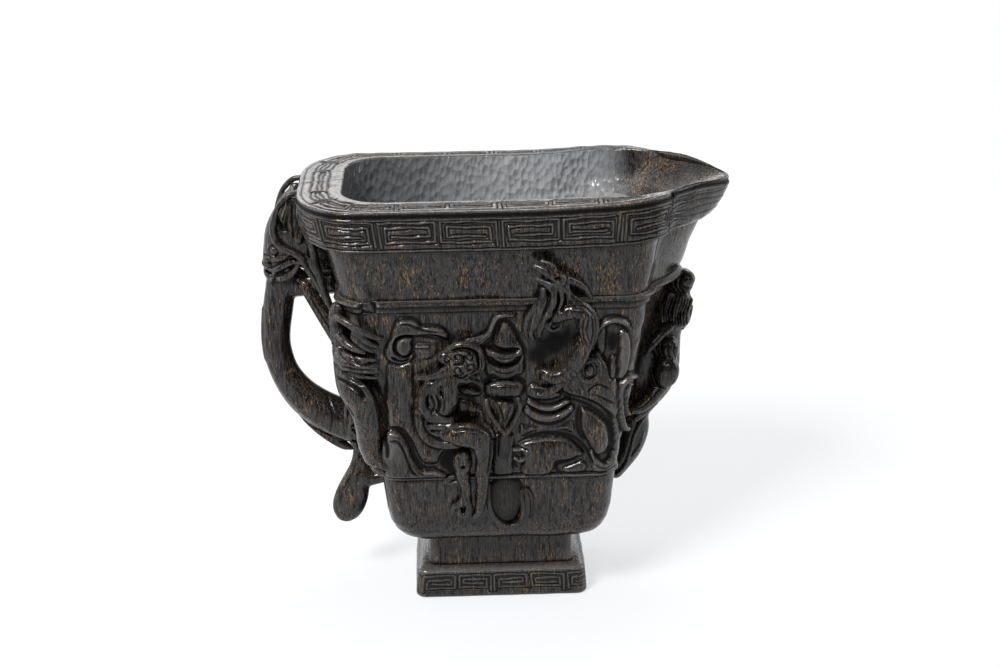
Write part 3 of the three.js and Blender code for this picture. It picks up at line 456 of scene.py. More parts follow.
def wall_grid(places, heights, table=OUTSIDE):
    """For each station and height of the near half wall: its point, outward direction and distance round."""
    kind, share = places
    heights = np.asarray(heights, float)
    x, y, around = outline(
        kind[:, None], share[:, None], sizes_at(heights[None, :], table), table is CAVITY
    )
    if table is CAVITY:
        y = y * (1 + facet_depth(x) * np.clip((heights - 60) / 30, 0, 1))
    z = np.broadcast_to(heights[None, :], x.shape)
    grid = np.stack([x, y, z + climb(x, z)], -1)
    rising = np.gradient(grid, axis=1) if len(heights) > 1 else np.broadcast_to([0.0, 0, 1], grid.shape)
    return grid, outward(grid, rising), around


def whole_ring(near):
    """The near half and its mirror image, as one loop."""
    far = near[1:-1][::-1].copy()
    if far.shape[-1] == 3:
        far[..., 1] *= -1
    return np.concatenate([near, far])


def whole_value(near):
    """The same for one value at each point."""
    return whole_ring(near[..., None])[..., 0]


def skin_ring(name, loop, painted_shade, inside, seam, caps=False):
    """A closed skin over loops of points: first index along the wall, second round the wall's own section."""
    count, rows = loop.shape[:2]
    j = np.arange(count - 1 if caps else count)[:, None]
    k = np.arange(rows)[None, :]
    after, above = (j + 1) % count, (k + 1) % rows
    quads = np.stack([j * rows + k, after * rows + k, after * rows + above, j * rows + above], -1)
    faces = quads.reshape(-1, 4).tolist()
    flats = []
    if caps:
        flats = [len(faces), len(faces) + 1]
        faces.append(list(range(rows)))
        faces.append([(count - 1) * rows + i for i in range(rows)][::-1])
        seam = seam.copy()
        seam[:6] = seam[-6:] = 1
    return carved(
        name, loop.reshape(-1, 3), faces, painted_shade.reshape(-1), inside.reshape(-1), flats, seam.reshape(-1)
    )


def closed_stack(rings):
    """Faces of a stack of loops, first index round each loop, second up the stack; its lids come last."""
    count, rows = rings.shape[:2]
    j, k = np.arange(count)[:, None], np.arange(rows - 1)[None, :]
    after = (j + 1) % count
    quads = np.stack([j * rows + k, after * rows + k, after * rows + k + 1, j * rows + k + 1], -1)
    faces = quads.reshape(-1, 4).tolist()
    faces.append([i * rows for i in range(count)][::-1])
    faces.append([i * rows + rows - 1 for i in range(count)])
    return faces


def close_ends(rows):
    """The same heights with one more just inside each end, so that the shading stays level up to a seam."""
    step = 0.04 * np.sign(rows[-1] - rows[0])
    return np.concatenate([rows[:1], [rows[0] + step], rows[1:-1], [rows[-1] - step], rows[-1:]])


def wall_section(places, rows, inner_rows, carve):
    """Outer wall carved by a height function, then the cavity's wall back down, for the near half."""
    inner_rows = close_ends(inner_rows)
    outer, out, around = wall_grid(places, rows)
    heights = np.broadcast_to(np.asarray(rows)[None, :], around.shape)
    rise, painted_shade = carve(around, heights)
    outer = outer + out * rise[..., None]
    inner = wall_grid(places, inner_rows, CAVITY)[0]
    loop = np.concatenate([outer, inner], 1)
    # painted shade of the carving on the outer wall, none on the cavity's wall
    dark = np.concatenate([painted_shade, np.zeros(inner.shape[:2])], 1)
    cavity = np.concatenate([np.zeros(painted_shade.shape), np.ones(inner.shape[:2])], 1)
    seam = np.ones(dark.shape)
    seam[:, 4:outer.shape[1] - 4] = 0
    return loop, dark, cavity, seam


def hand_waves(x, z, size, height, seed):
    """The slow unevenness of a surface scraped by hand."""
    rng = np.random.default_rng(seed)
    total = np.zeros(np.broadcast(x, z).shape)
    for _ in range(9):
        turn, speed = rng.uniform(0, 2 * math.pi), rng.uniform(0.7, 1.6) * 2 * math.pi / size
        total = total + np.sin((x * math.cos(turn) + z * math.sin(turn)) * speed + rng.uniform(0, 6.3))
    return total * height / 4


places = stations(16, 14, 110, 14, 16)
rows = np.concatenate([np.linspace(FOOT_TOP, 31, 26), np.linspace(31.6, BOWL_TOP, 20)])
shell, out, around = wall_grid(places, rows)
shell = shell + out * hand_waves(around, shell[..., 2], size=14, height=0.12, seed=3)[..., None]
# under the shell a lid, and inside it the cavity's lowest walls and its dished floor
under = np.stack([shell[:, 0] * (f, f, 1) for f in (0.30, 0.75, 0.93)], 1)
walls = wall_grid(places, close_ends(np.linspace(BOWL_TOP, 32.5, 14)), CAVITY)[0]
rim_of_floor = wall_grid(places, [CAVITY_FLOOR], CAVITY)[0][:, 0]
floor_rows = []
for share in (0.25, 0.5, 0.75, 1.0):
    turn = share * math.pi / 2
    shrink = 1 - 0.10 * (1 - math.cos(turn))
    floor_rows.append(rim_of_floor * (shrink, shrink, 1) - (0, 0, FLOOR_DIP * math.sin(turn)))
floor_rows.append(floor_rows[-1] * (0.4, 0.4, 1))
loop = whole_ring(np.concatenate([under, shell, walls, np.stack(floor_rows, 1)], 1))
cavity = np.zeros(loop.shape[:2])
cavity[:, under.shape[1] + shell.shape[1]:] = 1
dark = np.zeros(loop.shape[:2])
# half-strength painted shade on the lid under the bowl
dark[:, :under.shape[1]] = 0.5
plain = np.ones(dark.size)
bowl = carved(
    "lower_bowl_carving", loop.reshape(-1, 3), closed_stack(loop), dark.reshape(-1), cavity.reshape(-1),
    seam=plain
)
place_piece(bowl, "lower_bowl")

# Walls in relief.
# The tall tapering wall, cut back so that a mask, scrolls and tails stand a millimetre or two proud of
# deep cuts painted black as shade. It is one with the bowl and the neck; its two halves meet on the cup's
# middle line.


def catmull(points, steps=8):
    """A smooth line through the given points."""
    points = np.asarray(points, float)
    ends = np.vstack([2 * points[0] - points[1], points, 2 * points[-1] - points[-2]])
    rows = []
    for i in range(len(points) - 1):
        p0, p1, p2, p3 = ends[i:i + 4]
        t = (np.arange(steps) / steps)[:, None]
        second, third = 2 * p0 - 5 * p1 + 4 * p2 - p3, 3 * p1 - p0 - 3 * p2 + p3
        rows.append(0.5 * (2 * p1 + (p2 - p0) * t + second * t ** 2 + third * t ** 3))
    return np.vstack([*rows, points[-1:]])


def line_distance(x, z, line, reach):
    """Distance from each point of a grid to a drawn line, and how far along the line the nearest place is."""
    best = np.full(np.broadcast(x, z).shape, 99.0)
    where = np.zeros(best.shape)
    for i, (p, q) in enumerate(zip(line[:-1], line[1:])):
        beside = (x > min(p[0], q[0]) - reach) & (x < max(p[0], q[0]) + reach)
        box = beside & (z > min(p[1], q[1]) - reach) & (z < max(p[1], q[1]) + reach)
        if not box.any():
            continue
        px, pz = x[box] - p[0], z[box] - p[1]
        dx, dz = q[0] - p[0], q[1] - p[1]
        share = np.clip((px * dx + pz * dz) / max(dx * dx + dz * dz, 1e-9), 0, 1)
        d = np.hypot(px - share * dx, pz - share * dz)
        nearer = d < best[box]
        best[box] = np.where(nearer, d, best[box])
        where[box] = np.where(nearer, (i + share) / (len(line) - 1), where[box])
    return best, where


def spiral(x, z, radius, turns, start, way, inner):
    """A drawn spiral round a place, from its radius in to a share of it."""
    t = np.linspace(0, 1, int(26 * turns))
    angle = start + way * 2 * math.pi * turns * t
    r = radius * (1 - (1 - inner) * t)
    return np.stack([x + r * np.cos(angle), z + r * np.sin(angle)], -1)


def inside_loop(x, z, line):
    """True inside a closed drawn line."""
    within = np.zeros(np.broadcast(x, z).shape, bool)
    for (x1, z1), (x2, z2) in zip(line, np.roll(line, -1, 0)):
        crossing = (z1 > z) != (z2 > z)
        within ^= crossing & (x < (x2 - x1) * (z - z1) / (z2 - z1 + 1e-12) + x1)
    return within


class Relief:
    """Low relief on a drawn surface, in places given as (along, up) in millimetres: raised fields with a
    crown, rounded ridges of a half width and a height, pits, and grooves of a half width and a depth.
    Pits and grooves are painted dark as shade; ridges clear that shade."""

    def __init__(self, x, z):
        self.x, self.z = x, z
        self.rise = np.zeros(x.shape)
        self.painted_shade = np.zeros(x.shape)

    def field(self, height, crown, *points):
        line = catmull([*points, points[0]], 6)
        d, _ = line_distance(self.x, self.z, line, 5)
        signed = np.where(inside_loop(self.x, self.z, line), -d, d)
        step = 1 / (1 + np.exp(np.clip(signed / 0.17, -30, 30)))
        rounded_edge = 0.6 * np.exp(-np.clip(-signed, 0, None) / 0.7)
        raised = height - rounded_edge + crown * np.clip(-signed / 3.5, 0, 1) ** 0.7
        self.rise = np.where(step > 0.02, np.maximum(self.rise, step * raised), self.rise)

    def pit(self, depth, *points, soft=0.22):
        line = catmull([*points, points[0]], 6)
        d, _ = line_distance(self.x, self.z, line, 5)
        signed = np.where(inside_loop(self.x, self.z, line), -d, d)
        step = 1 / (1 + np.exp(np.clip(signed / soft, -30, 30)))
        self.rise = self.rise * (1 - step) - depth * step
        self.painted_shade = np.maximum(self.painted_shade, step)

    def ridge(self, width, height, *points):
        line = catmull(points)
        d, _ = line_distance(self.x, self.z, line, width + 1)
        bank = np.sqrt(np.clip(1 - (d / width) ** 2, 0, 1))
        self.rise = np.where(bank > 0.15, np.maximum(self.rise, height * bank), self.rise)
        self.painted_shade = np.where(bank > 0.15, self.painted_shade * 0.2, self.painted_shade)

    def groove(self, width, depth, *points):
        line = catmull(points)
        d, where = line_distance(self.x, self.z, line, width * 3)
        fade = np.clip(np.minimum(where, 1 - where) * 7 + 0.1, 0, 1)
        bite = np.exp(-(d / (width * 1.08 * (0.5 + 0.5 * fade))) ** 2.1) * fade ** 0.5
        self.rise = self.rise - depth * 1.15 * bite
        self.painted_shade = np.maximum(self.painted_shade, np.clip(bite * 1.5 - 0.1, 0, 1))


def side_relief(around, z):
    """The mask and its scrolls, on the near side and mirrored on the far side."""
    x = around
    r = Relief(x, z)
    # the smooth upright band, and the corner dragon's tail winding over its foot
    r.field(
        0.9, 0.3, (-33.3, 61.5), (-33.5, 70), (-33.0, 78), (-32.4, 81.6), (-29, 81.2), (-25.7, 82),
        (-25.4, 76), (-25.0, 70), (-25.4, 64), (-24.6, 60), (-22.6, 57), (-19, 55), (-15.4, 54.4),
        (-16.6, 51.6), (-18.8, 49.6), (-21, 49), (-23.6, 50), (-25.2, 53.4), (-26.6, 57), (-29, 60.6)
    )
    r.field(
        1.5, 0.7, (-34, 60.2), (-31, 60), (-29, 58.8), (-27.6, 56.2), (-26.6, 53), (-25.4, 49.8),
        (-24, 47.4), (-22, 46.4), (-19.6, 46.4), (-17.4, 45.4), (-16.8, 44.2), (-20, 43.8), (-28, 43.8),
        (-35, 44), (-35.4, 52)
    )
    r.groove(
        0.32, 0.45, (-32.4, 57.6), (-30.4, 57.2), (-28.9, 54.6), (-27.8, 51), (-26.6, 47.6), (-24.4, 45.4)
    )
    r.ridge(0.9, 2.0, (-22.6, 46.3), (-20.4, 46.4), (-18.4, 45.6), (-16.8, 44.7))
    r.groove(
        0.55, 1.5, (-33.8, 61.2), (-31, 61.0), (-29.2, 59.9), (-27.5, 57.8), (-26.4, 55.2), (-25.8, 52.6),
        (-24.9, 50.2), (-23.7, 48.5), (-22, 47.6), (-20.2, 47.7), (-18.2, 48.3)
    )
    r.groove(
        0.6, 1.3, (-40.5, 77.3), (-38, 76.2), (-36.5, 75), (-35, 73), (-34, 70), (-33.7, 66), (-33.6, 62),
        (-33.9, 58), (-33.3, 55), (-33, 52)
    )
    # scroll over the band, with the long slot cut under it
    r.field(
        1.7, 0.3, (-15.2, 91), (-17, 92.8), (-20, 93.3), (-22.8, 93.4), (-24, 95), (-26.5, 95.7),
        (-29, 95.4), (-30.4, 93), (-31.2, 90), (-33, 86.2), (-32.6, 83.6), (-30.8, 82.4), (-28, 82),
        (-25.6, 83.4), (-25, 86), (-25.2, 89.6), (-20, 91), (-15.6, 89.6)
    )
    r.groove(
        0.5, 1.7, (-25.4, 88.6), (-25.3, 86.4), (-26.3, 84.7), (-28, 84.2), (-29.8, 85.3), (-30.4, 87.4),
        (-29.7, 89.5), (-27.8, 90.6), (-25, 90.4), (-20, 89.7), (-15.4, 88.2)
    )
    r.groove(0.45, 1.3, (-31.4, 84.4), (-29.7, 83.1), (-27.8, 82.8), (-26.1, 83.5))
    r.ridge(1.3, 1.9, (-28.2, 87.4), (-27.7, 87.3))
    r.groove(0.3, 0.5, (-28.7, 94.3), (-26.4, 94.4), (-24, 93.3), (-21.6, 92.3), (-17.6, 91.8))
    r.field(0.6, 0, (-24.6, 88.4), (-20, 88.0), (-16.9, 86.5), (-17.9, 84.3), (-21, 82.9), (-24.5, 83.7))
    r.ridge(0.5, 1.1, (-24.3, 87), (-20.8, 87))
    # shield on the mask's forehead, with a cord from the dragon's head round it
    r.ridge(
        0.85, 1.5, (-9.6, 88), (-6.6, 88.6), (-4.4, 89.5), (-3.1, 91.2), (-2.2, 93.6), (-1.1, 95.7),
        (0.8, 96.4), (3.6, 96.5)
    )
    r.field(
        1.3, 0.5, (-1.0, 90), (0, 93), (0.9, 94), (2.2, 93.4), (3.6, 91.4), (4.9, 88.6), (6.4, 85.6),
        (6.9, 82.4), (6.6, 79), (5, 77.6), (1, 77.8), (-3.6, 77.4), (-4.6, 80), (-4.6, 84), (-4.4, 86.4),
        (-2.4, 87.6)
    )
    r.groove(
        0.42, 1.1, (-5.6, 84), (-5.2, 86.6), (-3.4, 87.6), (-2.2, 89.4), (-1.3, 91.8), (-0.3, 93.9),
        (0.9, 94.7), (2.3, 94.3), (3.6, 92.8), (4.8, 90.6), (5.8, 88), (7.1, 85.4), (7.7, 82)
    )
    r.groove(0.75, 2.6, (-4.2, 87.0), (-1.4, 86.1), (1.2, 85.5), (5.0, 85.7))
    r.groove(0.75, 2.6, (-4.3, 83.6), (-1.6, 81.7), (1.2, 80.9), (3.8, 81.7), (5.8, 83.4))
    # arched nose, snout and left eye of the mask
    r.field(
        1.6, 0.6, (-4.6, 74.6), (-2.8, 75.6), (1, 76), (4.8, 75.5), (6.6, 74.2), (5.8, 71.4), (3.8, 70.5),
        (1, 70.9), (-2.6, 70.7), (-4.4, 72)
    )
    r.groove(0.68, 1.6, (-5.8, 74.7), (-3.2, 76.4), (1, 77), (5, 76.4), (8.0, 74.2))
    r.groove(0.65, 2.0, (-3.4, 69.7), (-0.8, 70.2), (1.2, 70.0), (4.0, 69.3))
    r.field(0.9, 0.2, (-2.6, 58), (0.6, 58.6), (3.6, 57.6), (3.4, 50), (3.0, 44.4), (-2.4, 44.4))
    r.field(1.4, 0.6, (-12.2, 73.4), (-10, 74.1), (-7.4, 73.2), (-5.9, 71.9), (-8, 71.2), (-11, 71.8))
    r.groove(0.52, 1.2, (-12.8, 74.4), (-10.6, 75.2), (-8.2, 74.6), (-5.6, 73.0))
    r.groove(0.45, 1.1, (-13, 71.1), (-11, 71.3), (-9, 70.5), (-7, 69.2))
    r.field(
        0.9, 0.4, (-12.6, 70), (-10.4, 70.2), (-7.6, 68.6), (-5.6, 67), (-6.4, 64.6), (-9.6, 64),
        (-12.6, 65.6)
    )
    r.field(0.9, 0.3, (-13.6, 78.4), (-12.6, 76.4), (-8, 76.2), (-5.6, 75.4), (-6.2, 78.6), (-9, 80))
    # the mask's right cheek, in folds
    r.field(
        1.2, 0.4, (7.4, 73), (9, 74.2), (12, 73.8), (16, 72.8), (17.4, 70.6), (14, 69.3), (10, 69.6),
        (7.6, 71)
    )
    r.ridge(0.85, 2.0, (10.7, 71.4), (11.6, 71.2))
    r.ridge(0.95, 1.6, (8.2, 68.8), (10.8, 67.0), (14, 66.5), (17.2, 67.4), (20.4, 69.5))
    r.ridge(1.3, 1.9, (7.8, 65.9), (10.6, 63.9), (13.6, 63.3), (16.8, 64), (20, 66.3))
    r.field(
        0.8, 0.1, (5.2, 61.6), (8.6, 60.4), (13, 59.6), (17, 60), (20.6, 62), (21.4, 58.4), (18, 59.3),
        (14, 59.6), (10, 59.3), (5.6, 57.6)
    )
    r.groove(0.5, 1.4, (8.0, 67.6), (10.8, 65.6), (14, 65.1), (17.2, 65.9), (21, 68.6))
    r.groove(0.45, 1.2, (6.6, 65.2), (9.4, 62.3), (13, 61.1), (16.4, 61.5), (19.2, 63.2), (21, 66.2))
    # lower arc and hook
    r.field(
        1.5, 0.7, (4.9, 55), (8, 56.3), (14, 57.2), (19, 56.5), (22.3, 53.9), (24.2, 51), (22.4, 50.6),
        (20, 49.6), (16.2, 49.0), (15.4, 46.8), (13.2, 44.6), (8, 44.2), (5.8, 46), (6.6, 50)
    )
    r.field(1.0, 0.2, (18, 46.6), (20.6, 47.4), (23.6, 48.6), (25.2, 47.4), (24.4, 45.2), (19, 44.9))
    r.groove(
        0.58, 1.5, (5.0, 55.8), (8, 57.3), (11, 58.1), (14, 58.3), (17, 58.1), (20, 57.3), (22.5, 55.7),
        (24.6, 53.2), (26, 50.4), (26.3, 47.2)
    )
    r.groove(0.55, 1.4, (23.6, 50.9), (21, 49.4), (18.6, 48.5), (16.5, 47.8), (16.3, 46.2), (17.8, 45.2))
    r.ridge(0.65, 1.3, (3.8, 53), (6.4, 53), (7.2, 51), (5.6, 49.4), (4, 50.2))
    r.groove(0.35, 0.8, (3.2, 54.2), (5.6, 54), (8, 53.3))
    r.groove(0.5, 0.9, (3.5, 49), (4.5, 46.8))
    # right lobe between two deep cuts
    r.field(
        1.4, 0.8, (23.4, 66.2), (26, 65.4), (28.6, 63.3), (30.5, 60.3), (31.4, 57), (31.2, 53.6),
        (30, 51.4), (28.2, 50.9), (26.8, 52.8), (25.2, 55.6), (23.7, 58.6), (23.2, 62)
    )
    r.field(
        1.2, 0.1, (32.7, 63), (34.4, 62), (35, 55), (34.6, 48), (33, 45.2), (28, 44.8), (26.9, 47),
        (27.0, 50.4), (28.6, 47.4), (30.8, 46.6), (32.6, 48.2), (33.5, 51), (33.6, 56), (33, 60)
    )
    r.ridge(0.6, 1.8, (26.5, 51.8), (27.4, 49.3), (29, 47.5), (30.6, 47), (32.2, 48.1), (33.4, 50.8))
    r.groove(0.55, 1.5, (22.9, 67.6), (22.3, 64.6), (22.1, 61.6), (22.5, 58.8), (23.6, 56.8), (25.1, 55.2))
    r.field(
        1.7, 0.6, (17.8, 72.2), (20, 71), (23, 70.2), (26, 69), (29, 67.2), (31.4, 64.8), (33.2, 62.4),
        (34.1, 66), (34.2, 71), (33.4, 75), (31.4, 78.6), (29.6, 82), (28, 84.6), (26, 83.4), (23.6, 83.6),
        (21.4, 81.6), (18.4, 78.4), (16.8, 75.6)
    )
    r.groove(
        0.55, 1.6, (16.8, 71.8), (19.2, 69.9), (22.2, 68.6), (25.2, 67.2), (28.2, 65.2), (30.4, 62.8),
        (31.9, 60), (32.6, 57), (32.5, 54), (31.8, 51.4), (30, 50)
    )
    r.groove(0.3, 0.4, (25, 72.3), (26.6, 73.8), (28.6, 74.4), (31.4, 73.1))
    r.groove(0.28, 0.35, (26.4, 71.6), (29.4, 70.2), (32.6, 68.2))
    # curled horn beside the lip
    r.field(1.3, 0.3, (26.8, 89), (28, 91), (30, 92.4), (30.2, 88), (30, 84.6), (28.8, 83.4), (27.4, 85.6))
    r.field(
        1.2, 0.3, (34, 90.2), (35.4, 90.6), (36.8, 88.6), (37.6, 84), (36.8, 78), (35.4, 75.2), (33.8, 76),
        (34.2, 82), (34.4, 86)
    )
    r.ridge(0.95, 1.8, (27.2, 89.8), (28.4, 92), (30.6, 93.6), (33.4, 94), (35.4, 92.9), (36.3, 91))
    r.groove(0.42, 1.0, (26.2, 90), (27.7, 93), (30.2, 94.9), (33, 95.4), (36, 94.6))
    r.groove(0.45, 1.3, (32.8, 92.2), (34.8, 92), (36.1, 90.8), (36.8, 89.4))
    r.pit(
        0.9, (32.2, 90.2), (33.7, 89), (33.9, 86.8), (32.9, 84.4), (31.4, 84.2), (30.6, 86.6), (30.9, 89.2)
    )
    r.pit(0.5, (32.2, 83.8), (33.3, 82), (33.4, 78.4), (32.2, 75.6), (31.2, 77.6), (31.1, 82))
    r.ridge(0.85, 0.9, (32.3, 82), (32.3, 78.4), (32.4, 76.2))
    # thin loop round the near corner under the lip
    r.ridge(
        0.95, 2.2, (39.6, 75), (37.2, 75.1), (35.2, 73.6), (34.4, 71), (34.4, 67.6), (34.9, 63.6),
        (35.9, 60), (37.7, 57.6), (40.4, 56.2), (44, 55.6)
    )
    r.ridge(0.6, 1.5, (38.8, 72.4), (37.2, 72.1), (36.5, 69.6), (36.9, 66), (38, 63.2), (40.2, 61.2))
    r.groove(0.45, 1.0, (37.8, 70.6), (37.8, 67.6), (38.8, 64.8))
    # hollows under the two dragons, sunk deep and painted black as shade
    r.pit(
        2.4, (7.4, 81.8), (7.8, 85.0), (9.6, 86.4), (10.2, 89.0), (12.8, 89.4), (14.6, 91.2), (17.4, 90.6),
        (19.6, 92.4), (20.6, 89.0), (18.6, 85.4), (17.0, 83.6), (14.2, 82.6), (12.6, 80.4), (9.8, 80.6),
        soft=0.5
    )
    r.pit(
        1.3, (-18.6, 48.6), (-17.8, 52), (-15.6, 54.2), (-13.6, 53), (-14, 49.6), (-13.2, 46),
        (-13.6, 44.4), (-15.4, 45.2), (-17, 47)
    )
    foot = np.clip((z - BOWL_TOP) / 0.5, 0, 1) * np.exp(-np.clip(z - 44.2, 0, None) / 1.2) * 0.8
    r.rise = np.maximum(r.rise, foot)
    r.groove(0.35, 0.5, (-34, 44.9), (-20, 44.8), (0, 44.9), (20, 44.8), (36, 44.9))
    # painted shade along the wall's top, under the moulding
    r.painted_shade = np.maximum(r.painted_shade, 0.6 * np.exp(-((z - RELIEF_TOP) / 0.5) ** 2))
    edge = np.clip((z - BOWL_TOP) / 0.8, 0, 1) * np.clip((RELIEF_TOP - z) / 0.7, 0, 1)
    r.rise = (r.rise + hand_waves(x, z, size=9, height=0.14, seed=5)) * edge
    return r.rise, r.painted_shade


places = stations(22, 22, 262, 22, 26)
rows, inner_rows = np.linspace(BOWL_TOP, RELIEF_TOP, 190), np.linspace(RELIEF_TOP, BOWL_TOP, 22)
section = wall_section(places, rows, inner_rows, side_relief)
near_wall = skin_ring("near_relief_carving", *section, caps=True)
place_piece(near_wall, "relief_wall")
far_copy(near_wall, "far_relief_carving", "relief_wall")

# Waist moulding.
# A rounded bar left standing round the cup where the carved wall ends, its top worn, with a painted
# highlight.


def upturned_end(around, z):
    """At the handle-end corner the moulding turns up into a short upright band."""
    side = np.clip(1 - (np.abs(around + 37.8 + 0.28 * (z - 99)) / 1.9) ** 2, 0, 1)
    height = np.clip((z - 97.8) / 1.6, 0, 1) * np.clip((106.5 - z) / 5, 0, 1)
    return 0.95 * np.sqrt(side) * height ** 0.6


def waist_profile(around, z):
    """A low step with a rounded bead on it, scored with short dashes towards the lip."""
    share = np.clip((z - RELIEF_TOP) / (WAIST_TOP - RELIEF_TOP), 0, 1)
    foot = np.clip(share / 0.12, 0, 1)
    past_corner = np.clip((around + 35.8) / 0.8, 0, 1) + np.clip((-39.2 - around) / 0.8, 0, 1)
    bead = np.exp(-np.abs((share - 0.76) / 0.19) ** 3) * past_corner
    rise = 0.75 * np.sqrt(1 - (1 - foot) ** 2) + 1.35 * bead
    rise = rise * np.clip((1 - share) / 0.08, 0, 1) ** 0.5 * past_corner + upturned_end(around, z)
    shallow = 1 - 0.5 * np.clip((around - 24) / 4, 0, 1) * np.clip((46 - around) / 8, 0, 1)
    dash_row = np.exp(-((share - 0.62) / 0.12) ** 2)
    dashes = 0.35 * np.clip(np.sin(around * 5.2 + np.sin(around)) - 0.2, 0, 1) * dash_row
    waved = (rise + hand_waves(around, z, size=8, height=0.12, seed=8) * foot) * shallow
    worn_line = waved - dashes * np.clip((around - 22) / 6, 0.15, 1)
    # painted shade at the step's foot, under the bead and in the dashes
    foot_line, bead_line = np.exp(-(share / 0.09) ** 2), np.exp(-((share - 0.42) / 0.12) ** 2)
    return worn_line, 0.9 * foot_line + 0.7 * bead_line * past_corner + dashes


rows, inner_rows = np.linspace(RELIEF_TOP, WAIST_TOP, 40), np.linspace(WAIST_TOP, RELIEF_TOP, 5)
loop, dark, cavity, seam = wall_section(stations(24, 20, 200, 20, 32), rows, inner_rows, waist_profile)
seam[:, 1:len(rows) - 1] = 0
waist = skin_ring(
    "waist_moulding", whole_ring(loop), whole_value(dark), whole_value(cavity), whole_value(seam)
)
place_piece(waist, "waist_ridge")

# Plain neck.
# The flaring neck between the waist moulding and the rim, scraped smooth and left plain, drawn out under
# the pouring lip.


def neck_profile(around, z):
    waves = hand_waves(around, z, size=12, height=0.14, seed=11) * np.clip((BAND_LOW - z) / 2, 0, 1)
    # painted shade along the neck's top, under the band
    return waves + upturned_end(around, z), 0.5 * np.exp(-((z - BAND_LOW) / 0.5) ** 2)


rows, inner_rows = np.linspace(WAIST_TOP, BAND_LOW, 44), np.linspace(BAND_LOW, WAIST_TOP, 10)
section = wall_section(stations(26, 30, 140, 30, 40), rows, inner_rows, neck_profile)
neck = skin_ring(
    "neck_carving", *(whole_ring(part) if part.ndim == 3 else whole_value(part) for part in section)
)
place_piece(neck, "neck_wall")

# Rim and pouring lip.
# A thick band round the mouth, its side and flat top cut with squared spirals whose lines stand up as pale
# threads over cut ground painted dark as shade. Towards the lip the top thins to an edge and the inside runs
# out in a smooth channel.
# The same measures as in OUTSIDE.
BAND_LEVELS = np.array([
    (116.5, 55.4, 47.9, 32.4, 16.5, 21.5, 18.5, 11.0, 14.8),
    (117.2, 55.9, 48.2, 32.75, 17.0, 22.0, 19.0, 11.1, 15.4),
    (119.0, 56.4, 48.4, 32.9, 17.2, 22.4, 19.2, 11.2, 16.8),
    (122.0, 57.1, 48.8, 33.1, 17.5, 23.0, 19.5, 11.3, 18.2),
    (126.6, 58.2, 49.4, 33.4, 18.0, 24.0, 20.0, 11.5, 19.6),
    (127.9, 58.0, 49.2, 33.2, 17.8, 23.8, 19.8, 11.4, 19.7),
    (128.45, 57.3, 48.8, 32.6, 17.2, 23.2, 19.2, 11.0, 19.5),
])
TOP_SLOPE, LIP_EDGE, LIP_TIP = 0.7, 1.2, 69.0
FRET_LOW, BORDER_LOW, BORDER_HIGH = 118.2, 117.1, 126.3


def square_spiral(length, height, step):
    """One unit of the fret: a line that winds inwards in right angles."""
    path = [(0, 0), (0, height), (length, height), (length, step * 0.9), (step, step * 0.9)]
    left_side, right_side, low, high = step, length - step, step * 0.9, height - step
    while high - low > step * 0.7:
        path += [(left_side, high), (right_side, high)]
        low += step
        if high - low < step * 0.5:
            break
        path += [(right_side, low), (left_side + step, low)]
        left_side += step
        right_side -= step
        high -= step
    return np.array(path)


def fret_distance(along, across, unit, height, step, seed):
    """How far each point of a band is from the fret's line, cut by an unsure hand."""
    rng = np.random.default_rng(seed)
    nearest = np.full(along.shape, 9.0)
    wander = 0.14 * np.sin(along * 0.6 + 1.3 * across) + 0.04 * np.sin(along * 1.9 - across)
    path = square_spiral(unit - step, height, step)
    for number in range(int(np.floor(along.min() / unit)), int(np.ceil(along.max() / unit)) + 1):
        here = (along > number * unit - 1) & (along < (number + 1) * unit + 1)
        if not here.any():
            continue
        u = along[here] - number * unit - step / 2 + rng.uniform(-0.2, 0.2)
        v = across[here] + wander[here]
        if number % 2:
            u = (unit - step) - u
        jitter = path + rng.uniform(-0.2, 0.2, path.shape)
        d = np.full(u.shape, 9.0)
        for p, q in zip(jitter[:-1], jitter[1:]):
            dx, dz = q - p
            share = np.clip(((u - p[0]) * dx + (v - p[1]) * dz) / (dx * dx + dz * dz + 1e-9), 0, 1)
            d = np.minimum(d, np.hypot(u - p[0] - share * dx, v - p[1] - share * dz))
        nearest[here] = np.minimum(nearest[here], d)
    return nearest


def run_along(line):
    """The distance run to each point of a line."""
    return np.concatenate([[0], np.cumsum(np.linalg.norm(np.diff(line, axis=0), axis=1))])


def threads(distance, depth):
    """Lines left standing as threads in cut ground: how far the surface sinks, and its painted shade."""
    thread = np.exp(-(distance / 0.22) ** 2)
    ground = np.exp(-((distance - 0.48) / 0.30) ** 2)
    return depth * ground * (1 - thread), 0.8 * ground * np.clip(1 - 1.6 * thread, 0, 1)


# the band's side: a fret between two border lines, which gives way to level lines under the lip
places = stations(40, 110, 250, 84, 104)
kind, share = places
rows = np.concatenate([np.linspace(BAND_LOW, 126.4, 48), np.linspace(126.65, 128.45, 10)])
sizes = [np.interp(rows, BAND_LEVELS[:, 0], BAND_LEVELS[:, i])[None, :] for i in range(1, 9)]
x, y, _ = outline(kind[:, None], share[:, None], sizes)
heights = np.broadcast_to(rows[None, :], x.shape)
band = np.stack([x, y, heights], -1)
out = outward(band, np.gradient(band, axis=1))
MIDDLE_ROW = 20
run = run_along(band[:, MIDDLE_ROW])
run = run - run[np.argmax(kind == 2)] + band[np.argmax(kind == 2), MIDDLE_ROW, 0]
along = np.broadcast_to(run[:, None], x.shape)
distance = fret_distance(along, heights - FRET_LOW, unit=17.0, height=7.3, step=1.62, seed=2)
for border in (BORDER_LOW, BORDER_HIGH):
    distance = np.minimum(distance, np.abs(heights - border + 0.08 * np.sin(run * 0.7)[:, None]))
